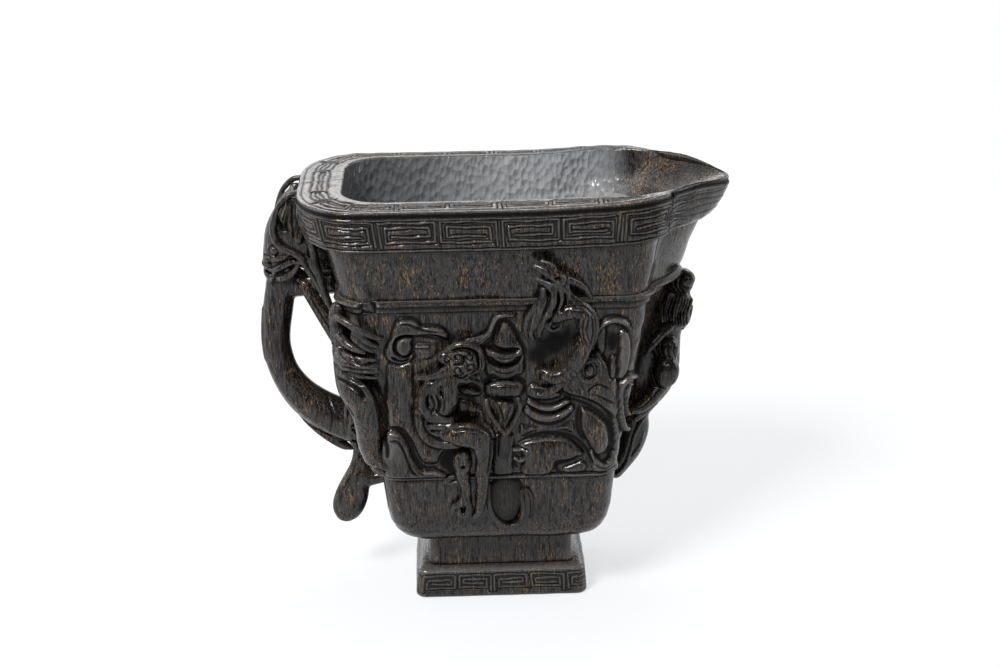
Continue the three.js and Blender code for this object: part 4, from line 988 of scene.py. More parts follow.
# the fret's cut ground gets painted shade
sunk, band_dark = threads(distance, depth=0.5)
plain_lip = ease(run, 54, 66)[:, None]
fine_lines = sum(
    np.exp(-((heights - z - 0.25 * np.sin(run * 0.25 + z)[:, None]) / 0.24) ** 2)
    for z in (119.6, 121.6, 123.5, 125.3)
)
# the level lines under the lip are cut and given painted shade too
sunk = sunk * (1 - plain_lip) + 0.16 * fine_lines * plain_lip
band_dark = band_dark * (1 - plain_lip) + 0.5 * fine_lines * plain_lip
# a strip just under the band's top edge, sunk and painted dark as shade
strip = np.exp(-((heights - 127.25) / 0.8) ** 4)
sunk = np.maximum(sunk, 0.45 * strip)
band_dark = np.maximum(band_dark, strip) * np.clip((heights - BAND_LOW) / 0.4, 0, 1)
band = band + out * (hand_waves(run[:, None], heights, size=9, height=0.07, seed=4) - sunk)[..., None]

# its flat top, with a fret of its own, which thins to an edge at the lip
TOP_ROWS = 32
top_outer = band[:, -1]
mouth_sizes = [
    np.array([[v]]) for v in (44.6, 48.2, 24.7, 12.0, 13.0, 14.0, 8.0, LIP_TIP - LIP_EDGE - 48.2)
]
mx, my, _ = outline(kind[:, None], share[:, None], mouth_sizes, True)
mouth = np.stack([mx[:, 0], my[:, 0], np.full(len(kind), RIM_TOP)], -1)
width = np.linalg.norm((mouth - top_outer)[:, :2], axis=1)
across = np.linspace(0, 1, TOP_ROWS + 1)[1:]
top = top_outer[:, None] * (1 - across[None, :, None]) + mouth[:, None] * across[None, :, None]
flatness = np.clip((width - 2.0) / 5, 0, 1)[:, None]
inwards = across[None, :] * width[:, None]
crown = np.minimum(np.clip(inwards / 0.7, 0, 1), np.clip((width[:, None] - inwards) / 0.6, 0, 1))
top[..., 2] = RIM_TOP - 0.3 + 0.3 * np.sqrt(crown) + TOP_SLOPE * across[None, :] * flatness
level_along = np.where(kind == 1, share, np.where(kind == 0, 0, 1))[:, None]
top_run = run[:, None] + (top[..., 0] - top_outer[:, None, 0]) * level_along
fret_place = (inwards - 2.0) * 8.7 / np.clip(width, 6, 20)[:, None]
line_gap = fret_distance(top_run, fret_place, unit=14.0, height=4.6, step=1.25, seed=7)
# the top's cut lines and a line just inside its outer edge, sunk and given painted shade
top_cut = np.maximum(np.exp(-(line_gap / 0.34) ** 2), 0.9 * np.exp(-((inwards - 1.1) / 0.28) ** 2))
top_cut = top_cut * np.clip((44.5 - top_outer[:, 0]) / 3.0, 0, 1)[:, None] * flatness
top[..., 2] -= 0.32 * top_cut
lift = hand_waves(top[..., 0], top[..., 1], size=7, height=0.06, seed=14) * crown
top = top + np.array([0, 0, 1]) * lift[..., None]

# the mouth's inside, which runs out over the lip in a smooth channel
channel = []
deep = sizes_at(BAND_LOW, CAVITY)
CHANNEL_DEPTH = RIM_TOP - BAND_LOW
for drop in (0.3, 0.8, 1.4, 2.1, 3.0, 4.0, 5.2, 6.4, 7.8, 9.2, 10.6, 11.96, CHANNEL_DEPTH):
    part = drop / CHANNEL_DEPTH
    reach = [np.array([[a[0, 0] * (1 - part) + b * part]]) for a, b in zip(mouth_sizes[:7], deep[:7])]
    lip_share = (1 - part) ** 1.25
    reach.append(np.array([[mouth_sizes[7][0, 0] * lip_share + deep[7] * (1 - lip_share)]]))
    cx, cy, _ = outline(kind[:, None], share[:, None], reach, True)
    facets = 1 + facet_depth(cx[:, 0]) * np.clip((44 - cx[:, 0]) / 8, 0, 1) * min(part * 4, 1)
    start = top[:, -1, 2]
    channel.append(np.stack([cx[:, 0], cy[:, 0] * facets, start * (1 - part) + BAND_LOW * part], -1))
channel = np.stack(channel, 1)
loop = np.concatenate([band, top, channel], 1)
loop[..., 2] += climb(loop[..., 0], loop[..., 2])
# painted shade from the band's and the top's cuts; none in the channel
dark = np.concatenate([band_dark, top_cut, np.zeros(channel.shape[:2])], 1)
cavity = np.concatenate([np.zeros(band.shape[:2]), np.zeros(top.shape[:2]), np.ones(channel.shape[:2])], 1)
cavity *= 1 - np.clip((loop[..., 0] - 30) / 12, 0, 1)  # the lip itself has none of the cavity's painted sheen
seam = np.zeros(cavity.shape)
seam[:, :3] = seam[:, -4:] = 1
near_rim = skin_ring("near_rim_carving", loop, dark, cavity, seam, caps=True)
place_piece(near_rim, "rim_band")
far_copy(near_rim, "far_rim_carving", "rim_band")

# Foot.
# A square-cornered plinth with fret sides under a plainer, narrower neck; the cup stands on its flat
# underside.


def rounded_box(name, stack, carve, side=150, end=100, corner=8):
    """A closed stack of rounded rectangles, each given as height, reach, half depth and corner."""
    kind, share = stations(end // 2, corner, side, corner, end // 2)
    rings = []
    for z, reach, half, radius in stack:
        x, y, _ = outline(kind, share, (reach, reach, half, radius, radius, radius, radius, 0.0))
        rings.append(np.stack([x, y, np.full(x.shape, z)], -1))
    grid = np.stack(rings, 1)
    run = run_along(grid[:, len(stack) // 2])
    rise, painted_shade = carve(run[:, None] - run[np.argmax(kind == 2)], grid)
    grid = grid + outward(grid, (0, 0, 1.0)) * rise[..., None]
    grid, painted_shade = whole_ring(grid), whole_value(painted_shade)
    faces = closed_stack(grid)
    flats = [len(faces) - 2, len(faces) - 1]
    return carved(name, grid.reshape(-1, 3), faces, painted_shade.reshape(-1), None, flats)


def plinth_carving(run, grid):
    z = grid[..., 2]
    along = np.broadcast_to(run, z.shape)
    distance = fret_distance(along + 2.0, z - 2.0, unit=11.2, height=5.2, step=1.3, seed=5)
    within = np.clip((z - 1.1) / 0.5, 0, 1) * np.clip((8.3 - z) / 0.5, 0, 1)
    sunk, dark = threads(distance, depth=0.34)
    # painted shade in the fret's cut ground
    return hand_waves(along, z, size=9, height=0.07, seed=21) - sunk * within, 0.75 * dark * within


PLINTH_TOP = 9.5
edge = [(0.0, 25.6, 16.0, 2.6), (0.15, 26.0, 16.4, 2.8), (0.5, 26.3, 16.7, 3.0), (0.9, 26.4, 16.8, 3.0)]
sides = [
    (z, 26.4 - 0.5 * (z - 0.9) / 7.6, 16.8 - 0.4 * (z - 0.9) / 7.6, 3.0)
    for z in np.linspace(1.1, 8.4, 34)
]
shoulder = [
    (8.8, 25.7, 16.2, 2.9), (9.15, 25.3, 15.8, 2.8), (9.4, 24.5, 15.1, 2.6), (PLINTH_TOP, 23.4, 14.0, 2.5)
]
plinth = rounded_box("foot_plinth_carving", edge + sides + shoulder, plinth_carving)
place_piece(plinth, "foot_plinth")


def foot_neck_carving(run, grid):
    z = grid[..., 2]
    # painted shade where the neck meets the plinth and the bowl
    dark = 0.8 * np.exp(-((z - 9.6) / 0.5) ** 2) + 0.8 * np.exp(-((z - 20.4) / 0.8) ** 2)
    return hand_waves(np.broadcast_to(run, z.shape), z, size=8, height=0.1, seed=23), dark


stack = []
for z in np.linspace(PLINTH_TOP, FOOT_TOP, 26):
    hollowed = 0.3 * math.sin(math.pi * (z - PLINTH_TOP) / 11)
    stack.append((z, 22.3 - hollowed, 13.1 - hollowed, 2.4))
foot_neck = rounded_box("foot_neck_carving", stack, foot_neck_carving, side=60, end=40, corner=6)
place_piece(foot_neck, "foot_neck")

# Dragons in high relief on the long sides and corners.
# Small horned dragons three to seven millimetres proud of the wall, with manes, claws and spiral joints.
# They are modelled as clay would be, in the wall's own flat measure, and bent round it.


BURIED = -1.2  # how deep a carving's own foot goes into the wall


class Clay:
    """A lump of clay on a grid between two corners, in millimetres along the wall, up it and proud of it:
    round strokes and eggs pressed together, then lines cut in."""

    def __init__(self, low, high, cell):
        self.low, self.cell = np.array(low, float), cell
        count = np.ceil((np.array(high, float) - self.low) / cell).astype(int) + 1
        self.axes = [self.low[i] + np.arange(count[i]) * cell for i in range(3)]
        self.field = np.full(count, 9.0, np.float32)
        self.cuts = np.zeros(count[:2], np.float32)

    def span(self, axis, low, high):
        """The stretch of the grid along an axis that holds a range."""
        start, stop = np.searchsorted(self.axes[axis], [low, high])
        return slice(max(int(start) - 1, 0), int(stop) + 1)

    def join(self, fresh, blend):
        """Presses fresh clay on, with a fillet as wide as the blend."""
        gap = np.clip(blend - np.abs(self.field - fresh), 0, None) / blend
        self.field = np.minimum(self.field, fresh) - gap * gap * blend / 4

    def stroke(self, points, blend=0.7, flat=1.0):
        """A tapering bar through points of (along, up, proud, radius), pressed flat by a share."""
        line = catmull(points, 5)
        fresh = np.full(self.field.shape, 9.0, np.float32)
        for p, q in zip(line[:-1], line[1:]):
            reach = max(p[3], q[3]) + 1.6
            part = tuple(self.span(i, min(p[i], q[i]) - reach, max(p[i], q[i]) + reach) for i in range(3))
            x, z, h = np.ix_(*(self.axes[i][part[i]] for i in range(3)))
            dx, dz, dh = q[0] - p[0], q[1] - p[1], (q[2] - p[2]) / flat
            u, v, w = x - p[0], z - p[1], (h - p[2]) / flat
            share = np.clip((u * dx + v * dz + w * dh) / (dx * dx + dz * dz + dh * dh + 1e-9), 0, 1)
            d = np.sqrt((u - share * dx) ** 2 + (v - share * dz) ** 2 + (w - share * dh) ** 2)
            fresh[part] = np.minimum(fresh[part], (d - (p[3] + (q[3] - p[3]) * share)) * min(flat, 1))
        self.join(fresh, blend)
        return self

    def egg(self, centre, sizes, degrees, blend=1.2):
        """An egg by its centre and its three half sizes, turned in the wall's plane."""
        turn = math.radians(degrees)
        x, z, h = np.ix_(*(self.axes[i] - centre[i] for i in range(3)))
        u = (x * math.cos(turn) + z * math.sin(turn)) / sizes[0]
        v = (z * math.cos(turn) - x * math.sin(turn)) / sizes[1]
        r = np.sqrt(u * u + v * v + (h / sizes[2]) ** 2)
        self.join(((r - 1) * min(sizes)).astype(np.float32), blend)
        return self

    def cut(self, points, width, depth, smooth=True):
        """A groove of a half width and a depth through points of (along, up)."""
        line = catmull(points, 6) if smooth else np.asarray(points, float)
        reach = width * 3 + self.cell
        low, high = line.min(0) - reach, line.max(0) + reach
        part = (self.span(0, low[0], high[0]), self.span(1, low[1], high[1]))
        x, z = np.broadcast_arrays(*np.ix_(self.axes[0][part[0]], self.axes[1][part[1]]))
        d, where = line_distance(x, z, line, reach)
        fade = np.clip(np.minimum(where, 1 - where) * 8 + 0.2, 0, 1)
        bite = (depth * fade * np.exp(-(d / width) ** 2)).astype(np.float32)
        self.cuts[part] = np.where(np.abs(bite) > np.abs(self.cuts[part]), bite, self.cuts[part])
        return self

    def locks(self, start, end, count, bend, width, depth):
        """A row of cut locks of hair: curved lines side by side from one edge line to another."""
        start, end = np.array(start, float), np.array(end, float)
        for share in np.linspace(0, 1, count):
            a, b = start[0] * (1 - share) + start[1] * share, end[0] * (1 - share) + end[1] * share
            side = np.array([b[1] - a[1], a[0] - b[0]]) * bend
            self.cut([a, (a + b) / 2 + side, b], width, depth)
        return self

    def strokes(self, *lines, blend=0.7, flat=1.0):
        """Several bars of one blend."""
        for line in lines:
            self.stroke(line, blend, flat)
        return self

    def grooves(self, width, depth, *lines):
        """Several cuts of one width and depth."""
        for line in lines:
            self.cut(line, width, depth)
        return self

    def piece(self, name, bend, skirt):
        """Meshes the clay, fillets it to the wall where it has one, and bends it into place."""
        h = self.axes[2][None, None, :]
        field = self.field
        if skirt:
            ground = np.broadcast_to(h + 0.2, field.shape)
            gap = np.clip(skirt - np.abs(field - ground), 0, None) / skirt
            field = np.maximum(np.minimum(field, ground) - gap * gap * skirt / 4, field - 1.5)
            field = np.maximum(field, BURIED - h)
        field = field + self.cuts[:, :, None] * np.clip((h + 0.3) / 0.6, 0, 1)
        # from the field to a mesh, with its faces turned outwards
        limit = self.cell * 3
        grid = vdb.FloatGrid(limit)
        padded = np.pad(np.clip(field, -limit, limit), 2, constant_values=limit)
        grid.copyFromArray(padded.astype(np.float32))
        points, quads = grid.convertToQuads()
        points = (points.astype(float) - 2) * self.cell + self.low
        corners = points[quads]
        volume = np.einsum("ij,ij->i", corners[:, 0], np.cross(corners[:, 1], corners[:, 2])).sum()
        volume += np.einsum("ij,ij->i", corners[:, 0], np.cross(corners[:, 2], corners[:, 3])).sum()
        if volume < 0:
            quads = quads[:, ::-1]
        # painted shade in the cuts, and where the carving meets the wall
        places = np.round((points[:, :2] - self.low[:2]) / self.cell).astype(int)
        across, up = np.clip(places, 0, np.array(self.cuts.shape) - 1).T
        painted_shade = np.clip(self.cuts[across, up] / 0.55, 0, 1)
        if skirt:
            painted_shade = np.maximum(painted_shade, 0.95 * np.exp(-(np.clip(points[:, 2], 0, None) / 1.3) ** 2))
        return carved(name, bend(points), quads.tolist(), painted_shade)


def on_wall(points):
    """From the wall's flat measure (along, up, proud) to the near wall itself."""
    around, z, lift = points.T
    left, right_reach, half, *_ = sizes_at(np.minimum(z, WAIST_TOP))
    corner = 8.0
    straight = np.where(around < 0, left, right_reach) - corner
    past = np.clip(np.abs(around) - straight, 0, None)
    turn = np.minimum(past / corner, math.pi / 2)
    beyond = past - turn * corner
    way = np.where(around < 0, -1.0, 1.0)
    x = way * (np.minimum(np.abs(around), straight) + corner * np.sin(turn) + lift * np.sin(turn))
    y = -(half - corner) - corner * np.cos(turn) + beyond - lift * np.cos(turn)
    y -= np.clip(z - WAIST_TOP, 0, None) * 0.19 * np.cos(turn)
    return np.stack([x, y, z], -1)


def both_sides(clay, form, node_name, bend=on_wall, skirt=0.7):
    """The clay as a piece on the near side, and its mirror image on the far side."""
    near = clay.piece(f"near_{form}_carving", bend, skirt)
    place_piece(near, f"near_{node_name}")
    far_copy(near, f"far_{form}_carving", f"far_{node_name}")


CELL = 0.29  # the clay's grid, in millimetres

corner_dragon = Clay((-58, 41, -1.6), (-21, 106, 8.5), CELL)
corner_dragon.strokes(  # neck, body, haunch and leg
    [(-47.6, 97.6, 1.4, 2.0), (-48.4, 94, 2.0, 2.7), (-48.6, 88, 2.4, 3.2), (-47.6, 82, 2.6, 3.6),
     (-45.2, 77.2, 2.8, 4.0), (-41.8, 73.2, 3.0, 4.3), (-39.2, 69.0, 2.9, 4.0), (-38.0, 64.4, 2.8, 3.6),
     (-37.9, 59.6, 2.7, 3.3), (-38.0, 54.4, 2.6, 3.2), (-37.2, 49.8, 2.3, 2.9)],
    [(-50.0, 86, 1.6, 2.6), (-51.0, 78, 1.6, 2.8), (-49.0, 71, 1.8, 2.8), (-46.0, 65, 1.8, 2.6),
     (-44.6, 58, 1.4, 2.2), (-44.0, 50, 1.0, 1.8)],
    blend=1.6,
)
corner_dragon.strokes(  # thin folds that sweep from the shoulder over a dark hollow
    [(-49.4, 93.4, 2.2, 1.6), (-46.6, 95.6, 2.8, 1.3), (-43.2, 95.2, 3.0, 1.2), (-39.6, 93.2, 2.6, 1.0),
     (-36.2, 90.8, 1.7, 0.8), (-33.0, 89.6, 0.8, 0.45)],
    [(-42.4, 94.0, 2.9, 1.0), (-39.8, 91.6, 2.5, 0.9), (-37.4, 88.8, 1.8, 0.75), (-35.2, 87.2, 1.0, 0.45)],
    [(-41.8, 92.4, 2.9, 1.0), (-40.2, 89.8, 2.5, 0.9), (-38.2, 87.2, 1.8, 0.75), (-36.6, 86.0, 1.2, 0.45)],
    [(-49.2, 91.4, 2.4, 1.5), (-47.4, 89.6, 2.9, 1.4), (-44.4, 88.4, 2.9, 1.3), (-41.4, 86.8, 2.6, 1.1),
     (-38.8, 85.6, 1.6, 0.7)],
    blend=0.4,
)
corner_dragon.strokes(  # forearm whose closed claws lie over the band
    [(-49.6, 86.0, 2.6, 2.8), (-45.6, 82.6, 3.4, 2.8), (-42.4, 81.2, 3.4, 2.7)],
    [(-43.0, 81.2, 3.0, 2.9), (-39.4, 81.2, 2.5, 2.6), (-36.8, 81.0, 1.6, 2.0)],
    [(-44.6, 84.0, 3.2, 1.0), (-40.6, 84.0, 3.2, 0.8), (-36.4, 83.5, 2.0, 0.6)],
    [(-42.6, 82.2, 4.4, 0.95), (-38.8, 82.2, 3.7, 0.8), (-35.4, 81.9, 2.1, 0.55)],
    [(-42.2, 80.4, 4.4, 0.95), (-38.6, 80.4, 3.7, 0.8), (-35.2, 80.1, 2.1, 0.55)],
    [(-41.6, 78.6, 3.6, 0.95), (-38.4, 78.4, 3.0, 0.8), (-35.6, 78.0, 1.7, 0.5)],
    blend=0.35,
)
corner_dragon.strokes(  # toes on the moulding of the bowl
    [(-37.4, 49.8, 2.8, 1.7), (-35.2, 49.0, 2.4, 1.4), (-33.2, 47.4, 1.4, 0.9)],
    [(-38.0, 48.2, 2.8, 1.6), (-35.8, 46.6, 2.2, 1.3), (-34.2, 44.8, 1.3, 0.8)],
    [(-39.2, 47.8, 2.4, 1.6), (-38.0, 45.4, 2.0, 1.3), (-37.0, 43.8, 1.2, 0.8)],
    blend=0.45,
)
corner_dragon.egg((-40.6, 72.4, 4.4), (3.9, 4.6, 2.6), 30, 1.8)
corner_dragon.stroke([(-37.8, 75.6, 4.2, 0.7), (-36.4, 72.4, 4.4, 0.8), (-35.9, 68.6, 3.8, 0.7)], 0.5)
# a deep cut under the shoulder folds, painted dark as shade
corner_dragon.cut([(-45.6, 92.6), (-43.4, 92.8), (-41.6, 91.4)], 0.95, 3.4)
corner_dragon.locks([(-51.6, 94), (-51.0, 84)], [(-47.0, 91), (-46.6, 84.6)], 5, -0.12, 0.36, 0.6)
corner_dragon.grooves(
    0.34, 0.7,
    [(-44.0, 77.0), (-40.8, 76.6), (-38.2, 75.0), (-36.8, 72)],
    [(-42.2, 70.0), (-40.2, 68.6), (-38.8, 65.6)],
    [(-40.8, 63.4), (-40.6, 58.0), (-41.0, 52.4)]
)
corner_dragon.grooves(
    0.3, 0.5,
    [(-41.0, 84.9), (-38.6, 82.9), (-36.2, 82.7)],
    [(-42.0, 81.4), (-38.8, 81.3), (-35.8, 81.0)],
    [(-41.6, 79.5), (-38.4, 79.5), (-35.8, 79.1)]
)
both_sides(corner_dragon, "corner_dragon", "corner_dragon")

middle_dragon = Clay((-27, 25, -1.6), (12, 92, 8.6), CELL)
middle_dragon.egg((-10.6, 82.9, 3.0), (5.2, 5.6, 4.2), 10).egg(
    (-15.4, 84.4, 2.6), (3.2, 2.4, 2.4), -10, 0.9
)
middle_dragon.strokes(  # locks round the head, and the cord from it to the shield
    [(-16.0, 86.0, 2.8, 1.1), (-13.4, 88.0, 4.0, 1.25), (-9.8, 88.6, 4.2, 1.25), (-6.6, 86.8, 3.4, 1.15),
     (-5.6, 83.6, 3.0, 1.1), (-6.0, 80.4, 2.8, 1.0), (-8.6, 77.8, 2.8, 0.9)],
    [(-14.4, 85.6, 4.8, 1.1), (-11.8, 87.0, 5.8, 1.1), (-9.4, 85.8, 6.2, 1.1), (-8.8, 83.4, 6.4, 1.0)],
    [(-13.8, 83.6, 5.2, 1.1), (-12.6, 81.2, 6.0, 1.1), (-10.8, 79.8, 5.8, 1.1), (-9.2, 80.8, 6.0, 1.0)],
    [(-7.6, 85.4, 5.4, 1.0), (-6.8, 83.2, 5.0, 1.0), (-7.2, 81.0, 5.0, 0.9)],
    [(-12.6, 78.6, 4.6, 1.1), (-10.2, 77.6, 4.2, 1.1), (-8.0, 78.6, 3.8, 1.0)],
    [(-9.8, 87.6, 3.6, 1.1), (-6.4, 88.8, 2.4, 1.0), (-3.2, 90.8, 1.2, 0.8)],
    [(-17.0, 85.0, 2.6, 1.0), (-18.8, 83.8, 2.0, 0.9), (-18.4, 82.2, 1.6, 0.7)],
    blend=0.5,
)
middle_dragon.strokes(  # beard and arm to the left
    [(-13.6, 81.8, 3.8, 1.8), (-17.4, 79.7, 3.8, 1.25), (-20.4, 78.3, 3.0, 0.9), (-24.6, 77.5, 1.5, 0.55)],
    [(-13.8, 80.2, 3.6, 1.5), (-17.2, 77.3, 3.6, 1.3), (-20.4, 75.2, 2.8, 1.1), (-23.4, 73.6, 1.7, 0.8)],
    blend=0.45,
)
middle_dragon.strokes(  # two limbs, the bowed back, the hip and the tail
    [(-13.4, 80.0, 3.4, 2.1), (-14.6, 76.0, 4.3, 2.3), (-15.0, 72.0, 4.6, 2.4), (-16.2, 68.4, 3.9, 2.3),
     (-18.8, 65.8, 3.2, 2.0)],
    [(-20.8, 75.8, 2.4, 1.6), (-22.4, 72.2, 3.1, 1.8), (-22.4, 68.8, 3.1, 1.9), (-20.8, 66.0, 3.0, 1.8)],
    [(-18.6, 74.4, 2.6, 1.9), (-18.6, 70.6, 2.4, 2.2), (-19.0, 67.2, 2.2, 2.0)],
    [(-24.0, 70.0, 1.2, 1.3), (-23.8, 66.0, 2.2, 1.7), (-23.0, 62.0, 2.6, 2.1), (-21.0, 59.2, 3.0, 2.4),
     (-17.8, 57.9, 3.2, 2.5), (-14.2, 57.8, 3.4, 2.6), (-10.4, 58.0, 3.4, 2.6)],
    [(-15.6, 60.6, 4.2, 2.8), (-12.6, 60.6, 5.2, 3.4), (-8.9, 60.3, 5.5, 3.7), (-6.4, 58.4, 5.1, 3.5),
     (-5.6, 55.0, 4.3, 3.1), (-5.7, 51.2, 3.4, 2.8), (-6.0, 47.2, 2.8, 2.6), (-5.9, 43.0, 2.4, 2.1),
     (-6.2, 38.0, 1.9, 1.8), (-6.8, 33.4, 1.4, 1.4), (-8.2, 30.6, 0.8, 0.9)],
    blend=0.8,
)
middle_dragon.strokes(  # fingers gripping the hip
    [(-15.2, 65.2, 4.2, 1.4), (-18.0, 65.4, 4.3, 1.25), (-21.2, 64.8, 3.4, 0.85)],
    [(-15.0, 63.0, 4.4, 1.4), (-18.0, 63.2, 4.5, 1.25), (-21.2, 62.4, 3.4, 0.85)],
    [(-15.4, 60.8, 4.4, 1.3), (-18.2, 60.8, 4.3, 1.2), (-20.6, 60.0, 3.4, 0.8)],
    blend=0.3,
)
middle_dragon.stroke(
    [(-14.6, 62.6, 5.0, 1.5), (-11.2, 63.0, 6.4, 1.7), (-7.6, 62.4, 6.6, 1.7), (-5.0, 60.4, 6.0, 1.5),
     (-4.4, 57.2, 5.0, 1.3)],
    1.2
)
middle_dragon.egg(
    (-11.5, 50.6, 2.4), (3.0, 4.3, 3.2), 0, 0.9
).egg((-11.0, 53.2, 4.1), (1.5, 1.5, 1.5), 0, 0.5)
middle_dragon.strokes(  # left strand of the tail with its fork
    [(-12.0, 48.2, 2.2, 2.2), (-11.3, 44.8, 2.1, 2.0), (-10.6, 41.4, 2.0, 1.6), (-10.9, 38.0, 1.7, 1.5),
     (-12.4, 35.8, 1.5, 1.2), (-14.2, 34.8, 1.3, 0.95), (-14.8, 33.0, 1.2, 0.8)],
    [(-10.6, 37.6, 1.8, 1.3), (-9.8, 34.4, 1.7, 1.1), (-10.8, 31.8, 1.6, 0.95), (-12.6, 32.2, 1.4, 0.8),
     (-12.8, 33.8, 1.3, 0.6)],
    [(-14.4, 44.6, 0.7, 0.9), (-16.6, 43.4, 0.8, 0.8), (-14.8, 42.5, 1.0, 0.8), (-12.6, 43.2, 0.9, 0.7)],
    blend=0.4,
)
middle_dragon.stroke([(1.2, 39.6, 0.1, 4.6), (1.2, 34.6, 0.2, 4.4), (1.4, 31.4, 0.2, 3.2)], 0.5, 0.22)
middle_dragon.strokes(  # looped tongue under the ridge
    [(-4.0, 41.4, 0.6, 0.7), (-4.0, 36.6, 0.9, 0.8), (-3.3, 32.4, 0.9, 0.85), (-1.4, 29.0, 0.9, 0.85),
     (1.0, 27.3, 0.9, 0.85), (3.4, 27.2, 0.9, 0.85), (5.3, 28.6, 0.9, 0.8), (6.3, 31.6, 0.8, 0.75),
     (6.2, 35.0, 0.7, 0.7), (5.8, 38.4, 0.5, 0.6)],
    [(6.0, 38.4, 0.5, 0.55), (7.5, 39.5, 0.6, 0.6), (8.7, 37.4, 0.6, 0.6), (9.0, 33.0, 0.5, 0.55),
     (8.5, 29.6, 0.3, 0.4)],
    blend=0.3,
)
for x, z, radius, way in (
    (-12.4, 85.6, 1.6, 1), (-9.2, 86.0, 1.5, -1), (-12.4, 81.6, 1.6, -1), (-9.0, 82.4, 1.8, 1),
    (-15.4, 84.2, 1.3, 1), (-8.4, 79.0, 1.2, -1)
):
    middle_dragon.cut(spiral(x, z, radius, 1.2, x + z, way, 0.3), 0.32, 0.5, smooth=False)
middle_dragon.grooves(
    0.34, 0.9,
    [(-14.4, 87.2), (-11.0, 88.0), (-7.6, 86.6), (-6.6, 83.6), (-7.0, 80.6)],
    [(-13.9, 83.4), (-11.0, 83.9), (-10.6, 86.6)],
    [(-13.8, 79.8), (-11.4, 79.2), (-9.6, 80.4)]
)
middle_dragon.locks([(-20.4, 72.8), (-17.6, 74.4)], [(-20.0, 67.4), (-17.0, 68.0)], 3, -0.12, 0.28, 0.5)
middle_dragon.grooves(
    0.34, 0.9,
    [(-21.1, 73.4), (-21.5, 71.2), (-21.2, 69.0)],
    [(-13.6, 67.2), (-16.6, 66.8), (-19.4, 68.4)]
)
middle_dragon.grooves(
    0.3, 0.55,
    [(-23.0, 67.0), (-22.4, 63.0), (-20.6, 60.4), (-17.4, 58.9), (-14.0, 58.6)],
    [(-14.2, 63.0), (-11.0, 63.6), (-7.2, 63.2)],
    [(-3.4, 59.4), (-3.4, 55.4), (-3.7, 51.4), (-4.4, 47.0)]
)
middle_dragon.grooves(
    0.5, 1.3,
    [(-14.6, 55.0), (-11.4, 55.6), (-8.8, 54.2), (-8.0, 51.0), (-8.6, 47.0), (-8.2, 42.6), (-8.2, 37.0)],
    [(-12.0, 49.8), (-11.0, 49.7)]
)
both_sides(middle_dragon, "middle_dragon", "middle_dragon")

lip_dragon = Clay((6, 68, -1.6), (31, 115, 9), CELL)
lip_dragon.egg((15.6, 108.0, 3.6), (3.2, 2.9, 2.8), 30).egg((13.4, 99.6, 2.8), (3.6, 4.6, 2.8), 0, 1.0)
lip_dragon.strokes(  # jaws, horn and fin
    [(14.6, 109.4, 4.2, 2.0), (12.2, 111.2, 4.2, 1.5), (9.8, 112.4, 3.4, 0.9)],
    [(14.4, 107.2, 4.0, 1.6), (12.2, 107.5, 4.0, 1.1), (10.2, 108.4, 3.4, 0.7)],
    [(15.2, 110.4, 3.8, 1.1), (14.0, 112.6, 3.2, 0.9), (11.6, 113.6, 2.4, 0.6)],
    [(16.6, 108.8, 3.2, 1.6), (20.0, 107.0, 2.0, 1.5), (23.4, 104.6, 1.2, 1.2), (25.6, 101.2, 0.7, 0.8)],
    [(13.8, 106.6, 4.6, 1.3), (15.0, 104.4, 5.0, 1.3), (14.6, 101.4, 5.2, 1.3), (13.2, 98.2, 4.8, 1.1),
     (12.0, 95.2, 3.8, 0.8)],
    [(16.4, 106.6, 4.2, 1.4), (17.2, 103.6, 4.4, 1.3), (16.6, 100.4, 4.6, 1.3), (15.4, 97.4, 4.2, 1.0),
     (14.4, 95.2, 3.4, 0.7)],
    [(12.0, 105.0, 3.6, 1.0), (11.8, 101.6, 3.8, 1.1), (10.8, 98.2, 3.4, 1.0), (9.4, 95.0, 2.8, 0.9),
     (8.6, 91.6, 2.0, 0.7)],
    [(18.2, 106.0, 3.2, 1.1), (19.0, 103.0, 3.0, 1.1), (18.6, 100.0, 3.2, 0.9)],
    blend=0.45,
)
lip_dragon.strokes(  # wisps of the mane over the hollow
    [(11.4, 97.4, 3.0, 1.2), (9.6, 94, 2.6, 1.1), (8.6, 91, 2.0, 0.9), (9.4, 88.4, 1.2, 0.6)],
    [(12.8, 96.2, 3.2, 1.2), (11.4, 93.2, 2.8, 1.1), (11.0, 90.4, 2.0, 0.8)],
    [(10.0, 99.4, 2.8, 1.1), (7.8, 95.8, 2.0, 1.0), (7.0, 91.8, 1.4, 0.8), (7.6, 88.8, 0.8, 0.5)],
    [(14.6, 96.0, 3.4, 1.1), (13.4, 93.4, 2.8, 1.0), (14.8, 91.8, 2.2, 0.8), (16.8, 92.6, 2.0, 0.7),
     (17.4, 94.6, 2.0, 0.6)],
    blend=0.5,
)
lip_dragon.strokes(  # arched body and forearm
    [(15.8, 97.2, 3.8, 2.6), (19.0, 98.2, 4.2, 2.5), (22.0, 98.2, 4.6, 2.5), (24.0, 95.6, 4.6, 2.5),
     (24.5, 91.6, 4.4, 2.5), (23.6, 87.6, 4.2, 2.5), (21.6, 82.8, 4.2, 2.5), (19.0, 79.2, 4.1, 2.4),
     (15.6, 77.8, 3.7, 2.2), (12.8, 77.8, 2.9, 1.6)],
    [(19.0, 103.0, 2.6, 1.3), (21.6, 100.8, 3.2, 1.4), (24.8, 98.4, 3.0, 1.4), (26.7, 94.6, 2.4, 1.3),
     (26.7, 90.0, 2.0, 1.2), (25.6, 86.2, 1.8, 1.0)],
    blend=0.45,
)
